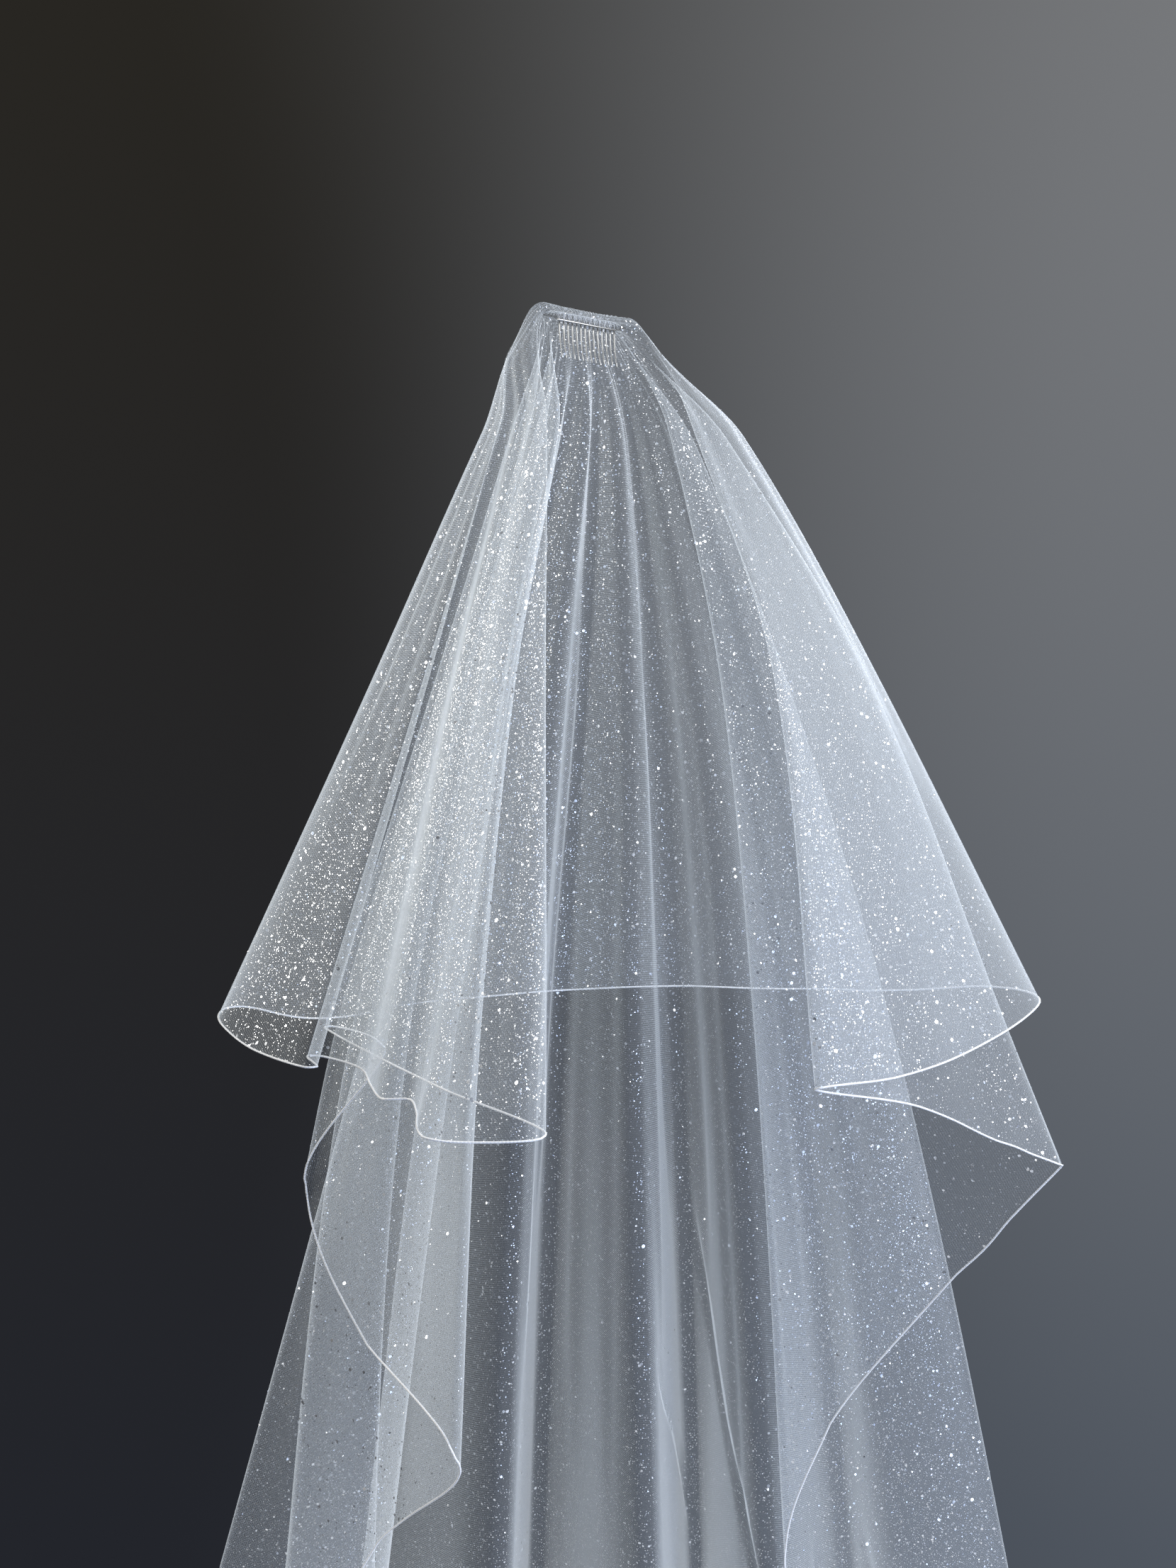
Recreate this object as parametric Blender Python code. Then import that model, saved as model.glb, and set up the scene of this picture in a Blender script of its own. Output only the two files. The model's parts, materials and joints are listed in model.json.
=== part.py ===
"""Two-tier drop veil of soft glitter tulle on a hair comb, in its worn, hanging form.

One oval of tulle is gathered on a line near its front end and sewn to a small comb.
The short front part is turned back over the comb as the upper tier, and the edge runs
on down both sides in cascades to the floor-length lower tier. A corded edge runs all
the way round. Lengths in the fold table are millimetres, x to the side, y to the back
and z up from the middle of the comb. Meshes are in metres.
"""

import math
from typing import NamedTuple

import bmesh
import bpy
import numpy as np

MM = 0.001

# tulle wall and the clear gap kept between neighbouring pieces
WALL = 1.1
GAP = 0.3

# the gathered line: half its length, its direction in plan and the side that faces back
GATHER_HALF = 54.0
ALONG = np.array([0.8211, 0.5708])
OUT = np.array([-ALONG[1], ALONG[0]])

# depths below the comb of the sections in the fold table
NEAR_COMB = 14.0
NECK = 115.0
SHOULDER = 358.0
WRIST = 688.0

# arch of the upper tier where it turns back over the comb
ARCH_HEIGHT = 16.0
ARCH_DEPTH = 9.0
ARCH_START = 3.0
ARCH_FRONT = 8.0

# bend of a tight fold: its radius, and the most it may be of the shorter side
FOLD_RADIUS = 4.0
FOLD_SHARE = 0.12

# rows of the wall from the gathers to the edge, as shares of each fold's length
ROWS = (0.0, 0.004, 0.009, 0.016, 0.026, 0.042, 0.065, 0.095, 0.135, 0.18, 0.235,
        0.30, 0.37, 0.45, 0.53, 0.61, 0.69, 0.77, 0.85, 0.93, 1.0)

# corded edge
CORD_RADIUS = 1.0
CORD_GAP = 0.8
CORD_SIDES = 5

# comb
COMB_HALF = 35.0
COMB_PLATE = 1.6
SPINE_TOP = 0.0
SPINE_DEPTH = 6.0
TOOTH_LENGTH = 38.0
TOOTH_COUNT = 14
TOOTH_SHARE = 0.5
COMB_SET_BACK = -3.6
COMB_CURVE = 5.0

# gathered heading over the comb
HEADING_HALF = 45.0
HEADING_WIDE = 4.2
HEADING_HIGH = 2.7
HEADING_RISE = 4.2
HEADING_PLEATS = 26


class Fold(NamedTuple):
    """One fold or swell line of the hanging cloth, from the comb down to the edge.

    at is its place along the gathered line, -1 to 1; side is 1 on the back of the
    gathers, 0 at their end and -1 on the head side; neck, shoulder and wrist are plan
    points at those depths, edge is its end at the hem, and steps counts the columns
    to the next fold.
    """

    name: str
    at: float
    side: float
    neck: tuple
    shoulder: tuple
    wrist: tuple
    edge: tuple
    steps: int


FOLDS = (
    Fold("right front fold", 0.97, -0.60, (106, -40), (170, -150), (201, -196), (202, -200, -724), 4),
    Fold("right front", 1.00, -0.30, (127, -35), (209, -126), (273, -166), (279, -169, -720), 4),
    Fold("right front swell", 1.00, -0.10, (146, -22), (257, -86), (363, -112), (367, -112, -701), 4),
    Fold("right outer fold", 1.00, 0.35, (160, 6), (290, -14), (443, -24), (446, -20, -672), 4),
    Fold("right back turn", 0.93, 0.80, (149, 34), (277, 38), (421, 62), (423, 64, -670), 4),
    Fold("right back", 0.60, 1.00, (111, 62), (209, 96), (318, 166), (318, 168, -687), 4),
    Fold("back centre", 0.10, 1.00, (31, 88), (43, 146), (73, 202), (73, 204, -687), 4),
    Fold("left back", -0.40, 1.00, (-53, 66), (-112, 116), (-157, 160), (-159, 162, -697), 4),
    Fold("left back dip", -0.70, 1.00, (-89, 34), (-179, 68), (-277, 86), (-279, 88, -706), 3),
    Fold("left back turn", -0.82, 1.00, (-102, 2), (-209, 18), (-343, 10), (-345, 10, -683), 3),
    Fold("left outer fold", -0.90, 0.85, (-98, -31), (-206, -30), (-349, -64), (-349, -66, -684), 3),
    Fold("left front swell", -0.95, 0.65, (-89, -53), (-179, -76), (-303, -114), (-309, -114, -704), 3),
    Fold("first pleat", -0.98, 0.45, (-80, -69), (-144, -116), (-233, -160), (-242, -166, -713), 2),
    Fold("first pleat back", -0.99, 0.30, (-79, -61), (-148, -92), (-246, -120), (-252, -118, -710), 3),
    Fold("second pleat side", -1.00, 0.15, (-71, -63), (-127, -104), (-199, -146), (-204, -148, -715), 3),
    Fold("second pleat", -1.00, 0.00, (-63, -78), (-113, -144), (-166, -222), (-171, -234, -728), 3),
    Fold("third pleat side", -1.00, -0.20, (-57, -79), (-97, -150), (-143, -228), (-148, -239, -731), 2),
    Fold("third pleat", -1.00, -0.40, (-50, -91), (-79, -174), (-117, -278), (-131, -302, -744), 3),
    Fold("front swell", -0.98, -0.60, (-43, -96), (-57, -180), (-81, -290), (-87, -308, -747), 3),
    Fold("left front fold", -0.96, -0.80, (-35, -95), (-35, -172), (-32, -284), (-32, -300, -743), 3),
    Fold("inner return", -0.92, -1.00, (-49, -76), (-83, -126), (-125, -204), (-126, -212, -719), 3),
    Fold("inner left fold", -0.88, -1.00, (-69, -48), (-141, -68), (-242, -76), (-244, -76, -687), 3),
    Fold("hidden turn", -0.85, -1.00, (-54, -49), (-111, -80), (-183, -104), (-187, -102, -702), 3),
    Fold("left cascade fold", -0.82, -1.00, (-65, -32), (-137, -38), (-239, -34), (-272, -34, -844), 3),
    Fold("left cascade edge", -0.79, -1.00, (-46, -44), (-101, -66), (-173, -84), (-204, -90, -984), 3),
    Fold("left lower front", -0.76, -1.00, (-26, -61), (-66, -122), (-96, -176), (-111, -198, -1048), 4),
    Fold("left lower return", -0.72, -1.00, (-39, -33), (-89, -54), (-143, -70), (-199, -54, -1186), 3),
    Fold("left lower fold", -0.67, -1.00, (-59, -13), (-131, -6), (-229, 12), (-319, 14, -1438), 3),
    Fold("left inner fold", -0.62, -1.00, (-42, -12), (-101, -14), (-173, -10), (-227, 60, -1558), 3),
    Fold("left floor fold", -0.55, -1.00, (-51, 4), (-123, 22), (-217, 56), (-491, 86, -1672), 4),
    Fold("back flute 1", -0.44, -1.00, (-26, 7), (-79, 28), (-133, 60), (-267, 120, -1686), 4),
    Fold("back flute 2", -0.30, -1.00, (-26, 28), (-81, 72), (-155, 130), (-297, 380, -1680), 4),
    Fold("back flute 3", -0.16, -1.00, (1, 15), (-31, 36), (-61, 42), (-107, 140, -1688), 4),
    Fold("back flute 4", -0.02, -1.00, (9, 41), (-3, 94), (-27, 146), (-71, 480, -1684), 4),
    Fold("back flute 5", 0.12, -1.00, (33, 22), (43, 48), (49, 52), (79, 184, -1688), 4),
    Fold("back flute 6", 0.26, -1.00, (49, 48), (75, 100), (97, 154), (151, 520, -1684), 4),
    Fold("back flute 7", 0.38, -1.00, (65, 32), (113, 52), (149, 74), (229, 224, -1688), 4),
    Fold("back flute 8", 0.48, -1.00, (85, 42), (151, 90), (215, 146), (353, 470, -1682), 4),
    Fold("back flute 9", 0.56, -1.00, (93, 28), (175, 60), (249, 98), (403, 280, -1686), 4),
    Fold("right floor fold", 0.64, -1.00, (111, 30), (211, 56), (317, 100), (543, 220, -1672), 4),
    Fold("right inner fold", 0.70, -1.00, (86, 3), (137, 22), (171, 44), (217, 150, -1308), 4),
    Fold("right lower edge", 0.74, -1.00, (107, 6), (177, 6), (233, 26), (257, 96, -1132), 3),
    Fold("right cascade back", 0.78, -1.00, (125, 5), (231, -8), (323, -6), (371, 8, -947), 4),
    Fold("right cascade fold", 0.82, -1.00, (139, 0), (277, -34), (405, -50), (455, -66, -821), 3),
    Fold("right cascade front", 0.86, -1.00, (132, -11), (251, -66), (355, -86), (383, -96, -790), 2),
    Fold("right cascade swell", 0.90, -1.00, (118, -23), (215, -102), (285, -134), (303, -134, -751), 3),
)

# the stretches that show, each from just after one fold to just after another
STRETCHES = (
    ("upper_tier", "right cascade swell", "left front fold"),
    ("left_cascade", "left front fold", "left floor fold"),
    ("lower_tier", "left floor fold", "right floor fold"),
    ("right_cascade", "right floor fold", "right cascade swell"),
)


def lift_share(side: float) -> float:
    """Share of the arch over the comb that a fold takes."""
    return min(max((side + 1.0) / 1.2, 0.0), 1.0)


def fold_plan(fold: Fold, depths: np.ndarray) -> np.ndarray:
    """Plan points of one fold line at the given depths, smooth through its sections."""
    base = ALONG * GATHER_HALF * fold.at
    tip = math.sqrt(max(0.0, 1.0 - fold.side ** 2)) * math.copysign(1.0, fold.at)
    back = max(fold.side, 0.0)
    spread = np.array([35.0 + 69.5 * fold.at + 9.5 * fold.at ** 2,
                       55.0 - 8.5 * fold.at - 78.5 * fold.at ** 2])
    front = min(max((fold.side + 1.0) / 0.8, 0.0), 1.0)
    start = base * (0.8 - 0.2 * fold.side) + OUT * (1.5 - ARCH_FRONT * front)
    near = base * 1.02 + ALONG * tip * 5.0 + spread * 0.10
    lobe = math.sin(math.pi * min(max(-fold.side, 0.0), 1.0))
    near = near + OUT * (2.5 + 4.0 * fold.side + 3.0 * back - 5.0 * lobe)
    knots = [(0.0, start), (NEAR_COMB, near), (NECK, fold.neck), (SHOULDER, fold.shoulder)]
    end = -fold.edge[2]
    if end > WRIST + 40.0:
        knots.append((WRIST, fold.wrist))
    knots.append((end, fold.edge[:2]))
    d = np.array([k[0] for k in knots])
    p = np.array([k[1] for k in knots], float)
    slope = (p[1:] - p[:-1]) / (d[1:] - d[:-1])[:, None]
    lower = np.array([0.5, 0.85, 0.6, 0.5])[:len(d) - 2, None]
    m = np.vstack([slope[:1], (1.0 - lower) * slope[:-1] + lower * slope[1:], slope[-1:]])
    i = np.clip(np.searchsorted(d, depths, side="right") - 1, 0, len(d) - 2)
    h = (d[i + 1] - d[i])[:, None]
    s = np.minimum((depths - d[i]) / (d[i + 1] - d[i]), 1.0)[:, None]
    curve = (2 * s ** 3 - 3 * s ** 2 + 1) * p[i] + (s ** 3 - 2 * s ** 2 + s) * h * m[i]
    curve = curve + (3 * s ** 2 - 2 * s ** 3) * p[i + 1] + (s ** 3 - s ** 2) * h * m[i + 1]
    return curve + np.maximum(depths - d[-1], 0.0)[:, None] * m[-1]


def through(before, first, second, after, share: float):
    """Point on the smooth curve through four neighbours, between the middle two."""
    t1 = np.linalg.norm(first - before, axis=-1, keepdims=True) ** 0.5 + 1e-6
    t2 = t1 + np.linalg.norm(second - first, axis=-1, keepdims=True) ** 0.5 + 1e-6
    t3 = t2 + np.linalg.norm(after - second, axis=-1, keepdims=True) ** 0.5 + 1e-6
    t = t1 + (t2 - t1) * share
    a1 = (t1 - t) / t1 * before + t / t1 * first
    a2 = (t2 - t) / (t2 - t1) * first + (t - t1) / (t2 - t1) * second
    a3 = (t3 - t) / (t3 - t2) * second + (t - t2) / (t3 - t2) * after
    b1 = (t2 - t) / t2 * a1 + t / t2 * a2
    b2 = (t3 - t) / (t3 - t1) * a2 + (t - t1) / (t3 - t1) * a3
    return (t2 - t) / (t2 - t1) * b1 + (t - t1) / (t2 - t1) * b2


def unit(v: np.ndarray) -> np.ndarray:
    """Vectors scaled to length one."""
    return v / np.maximum(np.linalg.norm(v, axis=-1, keepdims=True), 1e-9)


def turn_sign(index: int) -> float:
    """Which way the cloth turns at a fold, seen from above at shoulder depth."""
    before, fold, after = (np.array(FOLDS[(index + k) % len(FOLDS)].shoulder, float)
                           for k in (-1, 0, 1))
    a, b = fold - before, after - fold
    return math.copysign(1.0, a[0] * b[1] - a[1] * b[0])


def fold_round(before, fold, after, sign: float, point, fade: float):
    """Sideways shift that opens a tight fold into a round bend of a few millimetres."""
    arm_in, arm_out = fold - before, after - fold
    turn = np.sum(unit(arm_in) * unit(arm_out), axis=-1, keepdims=True)
    tight = np.clip((0.3 - turn) / 0.8, 0.0, 1.0)
    bisector = unit(unit(arm_in) - unit(arm_out))
    side = np.stack([-bisector[:, 1], bisector[:, 0]], axis=-1) * sign
    arm = np.minimum(np.linalg.norm(arm_in, axis=-1), np.linalg.norm(arm_out, axis=-1))
    radius = np.minimum(FOLD_RADIUS, FOLD_SHARE * arm)[:, None]
    away = np.linalg.norm(point - fold, axis=-1, keepdims=True)
    return side * radius * tight * np.sqrt(np.minimum(1.0, away / radius)) * fade


def cloth_grid() -> np.ndarray:
    """Middle surface of the whole cloth, closed round the columns, [column, row, xyz]."""
    rows = np.array(ROWS)
    count = len(FOLDS)
    columns = []
    for i, fold in enumerate(FOLDS):
        near = [FOLDS[(i + k) % count] for k in (-1, 0, 1, 2)]
        edges = [np.array(f.edge, float) for f in near]
        signs = turn_sign(i), turn_sign((i + 1) % count)
        for step in range(fold.steps):
            share = step / fold.steps
            share = 0.5 * share + 0.25 * (1.0 - math.cos(math.pi * share))
            depths = -through(*edges, share)[2] * rows
            lines = [fold_plan(f, depths) for f in near]
            plan = through(*lines, share)
            plan = plan + fold_round(*lines[:3], signs[0], plan, (1.0 - share) ** 1.5)
            plan = plan - fold_round(*lines[1:], signs[1], plan, share ** 1.5)
            lift = lift_share(fold.side + (near[2].side - fold.side) * share)
            arch = ARCH_HEIGHT * depths / ARCH_DEPTH * np.exp(1.0 - depths / ARCH_DEPTH)
            z = -depths + lift * (arch + ARCH_START)
            columns.append(np.column_stack([plan, z]))
    return np.array(columns)


def grid_normals(grid: np.ndarray) -> np.ndarray:
    """Unit normals of the closed grid at its points."""
    down = unit(np.gradient(grid, axis=1))
    ahead = np.roll(grid, -1, 0) - grid
    behind = grid - np.roll(grid, 1, 0)
    ahead = unit(ahead - down * np.sum(ahead * down, axis=-1, keepdims=True))
    behind = unit(behind - down * np.sum(behind * down, axis=-1, keepdims=True))
    return unit(np.cross(ahead + behind, down))


def column_after(name: str) -> int:
    """Index of the grid column halfway from the named fold to the next."""
    index = [f.name for f in FOLDS].index(name)
    return sum(f.steps for f in FOLDS[:index]) + FOLDS[index].steps // 2


def add_mesh(name: str, verts: list, faces: list, material) -> bpy.types.Object:
    """Closed smooth mesh object from millimetre points, faces turned outward."""
    mesh = bpy.data.meshes.new(name)
    mesh.from_pydata([tuple(float(c) * MM for c in v) for v in verts], [], faces)
    work = bmesh.new()
    work.from_mesh(mesh)
    bmesh.ops.recalc_face_normals(work, faces=work.faces)
    work.to_mesh(mesh)
    work.free()
    mesh.shade_smooth()
    mesh.materials.append(material)
    obj = bpy.data.objects.new(name, mesh)
    bpy.context.scene.collection.objects.link(obj)
    return obj


def add_material(name: str, color: tuple, roughness: float, metallic: float = 0.0):
    """Plain Principled material."""
    material = bpy.data.materials.new(name)
    material.use_nodes = True
    shader = material.node_tree.nodes["Principled BSDF"]
    shader.inputs["Base Color"].default_value = (*color, 1.0)
    shader.inputs["Roughness"].default_value = roughness
    shader.inputs["Metallic"].default_value = metallic
    return material


def sheet_faces(grid: np.ndarray) -> list:
    """Triangles over a grid of points, each cell cut along its shorter diagonal."""
    columns, rows = grid.shape[:2]
    faces = []
    for c in range(columns - 1):
        for r in range(rows - 1):
            a, b = c * rows + r, (c + 1) * rows + r
            falling = np.linalg.norm(grid[c, r] - grid[c + 1, r + 1])
            rising = np.linalg.norm(grid[c + 1, r] - grid[c, r + 1])
            if falling < rising:
                faces += [(a, b, b + 1), (a, b + 1, a + 1)]
            else:
                faces += [(a, b, a + 1), (b, b + 1, a + 1)]
    return faces


def build_wall(name: str, grid: np.ndarray, normals: np.ndarray, material):
    """One stretch of tulle as a wall of even thickness with closed edges."""
    grid = grid.copy()
    for end, inner in ((0, 1), (-1, -2)):
        step = grid[inner] - grid[end]
        grid[end] += step / np.linalg.norm(step, axis=-1, keepdims=True) * GAP / 2
    columns, rows = grid.shape[:2]
    front = (grid + normals * WALL / 2).reshape(-1, 3)
    back = (grid - normals * WALL / 2).reshape(-1, 3)
    shift = len(front)
    sheet = sheet_faces(grid)
    faces = list(sheet) + [tuple(i + shift for i in reversed(f)) for f in sheet]
    for c in range(columns - 1):
        for r in (0, rows - 1):
            a, b = c * rows + r, (c + 1) * rows + r
            faces.append((a, b, b + shift, a + shift))
    for c in (0, columns - 1):
        for r in range(rows - 1):
            a = c * rows + r
            faces.append((a, a + 1, a + 1 + shift, a + shift))
    return add_mesh(name, list(front) + list(back), faces, material)


def build_cord(grid: np.ndarray, material):
    """Corded edge: a closed round tube just past the lower end of the wall."""
    edge = grid[:, -1]
    run = unit(unit(np.roll(edge, -1, 0) - edge) + unit(edge - np.roll(edge, 1, 0)))
    down = edge - grid[:, -2]
    down = unit(down - run * np.sum(down * run, axis=-1, keepdims=True))
    line = edge + down * (CORD_RADIUS + CORD_GAP)
    verts = []
    for i, point in enumerate(line):
        side = np.cross(run[i], down[i])
        up = down[i]
        for k in range(CORD_SIDES):
            a = math.tau * k / CORD_SIDES
            verts.append(point + CORD_RADIUS * (math.cos(a) * up + math.sin(a) * side))
    faces = []
    for i in range(len(line)):
        n = (i + 1) % len(line)
        for k in range(CORD_SIDES):
            q = (k + 1) % CORD_SIDES
            faces.append((i * CORD_SIDES + k, n * CORD_SIDES + k,
                          n * CORD_SIDES + q, i * CORD_SIDES + q))
    return add_mesh("hem_cord", verts, faces, material)


def build_comb(material):
    """Curved plate comb: a spine with even teeth, as one closed body."""
    pitch = 2 * COMB_HALF / (TOOTH_COUNT - 1 + TOOTH_SHARE)
    cuts = []
    for k in range(TOOTH_COUNT):
        left = -COMB_HALF + k * pitch
        cuts += [left, left + pitch * TOOTH_SHARE]
    levels = [0.0, SPINE_DEPTH, SPINE_DEPTH + TOOTH_LENGTH * 0.5, SPINE_DEPTH + TOOTH_LENGTH]
    verts = []
    index = {}

    def corner(i: int, j: int, face: int) -> int:
        if (i, j, face) not in index:
            depth = levels[j]
            share = depth / levels[-1]
            taper = 1.0 - 0.35 * max(0.0, (depth - SPINE_DEPTH) / TOOTH_LENGTH)
            middle = (cuts[i - i % 2] + cuts[i - i % 2 + 1]) / 2
            along = middle + (cuts[i] - middle) * taper
            thick = COMB_PLATE * (1.0 - 0.4 * share) / 2
            out = COMB_SET_BACK - COMB_CURVE * share ** 2 + (thick if face else -thick)
            plan = ALONG * along + OUT * out
            index[(i, j, face)] = len(verts)
            verts.append((plan[0], plan[1], SPINE_TOP - depth))
        return index[(i, j, face)]

    cells = [(i, 0) for i in range(len(cuts) - 1)]
    cells += [(i, j) for i in range(0, len(cuts) - 1, 2) for j in (1, 2)]
    filled = set(cells)
    faces = []
    for i, j in cells:
        ring = [(i, j), (i + 1, j), (i + 1, j + 1), (i, j + 1)]
        faces.append(tuple(corner(a, b, 1) for a, b in ring))
        faces.append(tuple(corner(a, b, 0) for a, b in reversed(ring)))
        beside = ((i, j - 1), (i + 1, j), (i, j + 1), (i - 1, j))
        for k, cell in enumerate(beside):
            if cell not in filled:
                a, b = ring[k], ring[(k + 1) % 4]
                faces.append((corner(*a, 0), corner(*b, 0), corner(*b, 1), corner(*a, 1)))
    comb = add_mesh("comb", verts, faces, material)
    comb.data.shade_flat()
    return comb


def build_heading(material):
    """Gathered bunch of tulle on the sewing line, with small even pleats."""
    rings = 2 * HEADING_PLEATS
    sides = 6
    verts = []
    for i in range(rings + 1):
        along = -HEADING_HALF + 2 * HEADING_HALF * i / rings
        end = math.sqrt(max(0.0, 1.0 - (along / (HEADING_HALF + 2.0)) ** 8))
        swell = end * (1.0 if i % 2 else 0.86)
        for k in range(sides):
            a = math.tau * (k + 0.5) / sides
            plan = ALONG * along + OUT * (0.4 + HEADING_WIDE * swell * math.cos(a))
            verts.append((plan[0], plan[1], HEADING_RISE + HEADING_HIGH * swell * math.sin(a)))
    faces = []
    for i in range(rings):
        for k in range(sides):
            q = (k + 1) % sides
            faces.append((i * sides + k, (i + 1) * sides + k, (i + 1) * sides + q, i * sides + q))
    faces.append(tuple(range(sides)))
    faces.append(tuple(reversed(range(rings * sides, (rings + 1) * sides))))
    return add_mesh("gathered_heading", verts, faces, material)


def clear_scene() -> None:
    """Remove every object already in the file."""
    for obj in list(bpy.data.objects):
        bpy.data.objects.remove(obj, do_unlink=True)


def main() -> None:
    """Build every piece of the veil."""
    clear_scene()
    tulle = add_material("tulle", (0.86, 0.87, 0.90), 0.6)
    cord = add_material("satin_cord", (0.92, 0.93, 0.95), 0.4)
    metal = add_material("comb_metal", (0.75, 0.76, 0.78), 0.3, 1.0)
    grid = cloth_grid()
    normals = grid_normals(grid)
    total = len(grid)
    for name, start, end in STRETCHES:
        first = column_after(start)
        last = column_after(end)
        span = (last - first) % total
        ids = [(first + k) % total for k in range(span + 1)]
        build_wall(name, grid[ids], normals[ids], tulle)
    build_cord(grid, cord)
    build_comb(metal)
    build_heading(tulle)


if __name__ == "__main__":
    main()
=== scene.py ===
"""Looks of a two-tier drop veil of glitter tulle on a hair comb, hanging as it is worn.

One oval of sheer tulle is gathered at the comb. Its short front part is turned back as
the upper tier, and its edge runs down both sides in cascades to the floor-length lower
tier. Lengths are millimetres in the tables and classes, and metres in the meshes. x runs
to the side, y to the back and z up from the middle of the comb.
"""

import json
import logging
import math
from dataclasses import dataclass, field
from enum import Enum
from typing import Any, NamedTuple, Sequence

import bpy
import numpy as np
from mathutils import Matrix, Vector

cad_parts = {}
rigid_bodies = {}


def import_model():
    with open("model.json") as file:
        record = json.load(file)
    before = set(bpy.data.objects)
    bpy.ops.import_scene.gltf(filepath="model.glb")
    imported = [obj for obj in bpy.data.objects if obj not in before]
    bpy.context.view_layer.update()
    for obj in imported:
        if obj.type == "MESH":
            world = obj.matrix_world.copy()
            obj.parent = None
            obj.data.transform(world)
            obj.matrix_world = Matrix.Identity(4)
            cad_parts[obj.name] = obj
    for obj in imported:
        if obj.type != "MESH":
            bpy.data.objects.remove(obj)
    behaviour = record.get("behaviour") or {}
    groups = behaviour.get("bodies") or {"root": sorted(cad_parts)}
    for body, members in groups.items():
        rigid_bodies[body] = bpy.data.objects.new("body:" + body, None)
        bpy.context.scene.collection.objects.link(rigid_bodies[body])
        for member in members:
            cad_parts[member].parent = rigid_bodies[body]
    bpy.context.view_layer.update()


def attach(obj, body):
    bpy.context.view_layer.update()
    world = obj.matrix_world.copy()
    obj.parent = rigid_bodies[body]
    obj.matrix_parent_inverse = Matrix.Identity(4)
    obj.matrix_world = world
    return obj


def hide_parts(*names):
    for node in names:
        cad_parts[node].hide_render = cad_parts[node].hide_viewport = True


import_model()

LOG = logging.getLogger("veil")
BODY = "root"
MM = 0.001

# the gathered line: its direction in plan, the side that faces back and half its length
ALONG = np.array([0.8211, 0.5708])
OUT = np.array([-ALONG[1], ALONG[0]])
GATHER_HALF = 54.0

# side of the square, in metres, that the flat cut is laid out in for its UV map
CUT_SPAN = 4.0


class Slot(Enum):
    """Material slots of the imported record."""

    TULLE = "tulle"
    CORD = "satin_cord"
    WIRE = "comb_metal"


class Fold(NamedTuple):
    """One fold or swell line of the hanging cloth, from the comb down to the edge.

    at is its place along the gathered line, -1 to 1; side is 1 on the back of the
    gathers, 0 at their end and -1 on the head side; neck, shoulder and wrist are plan
    points at those depths, and edge is its end at the hem.
    """

    name: str
    at: float
    side: float
    neck: tuple[float, float]
    shoulder: tuple[float, float]
    wrist: tuple[float, float]
    edge: tuple[float, float, float]


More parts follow.
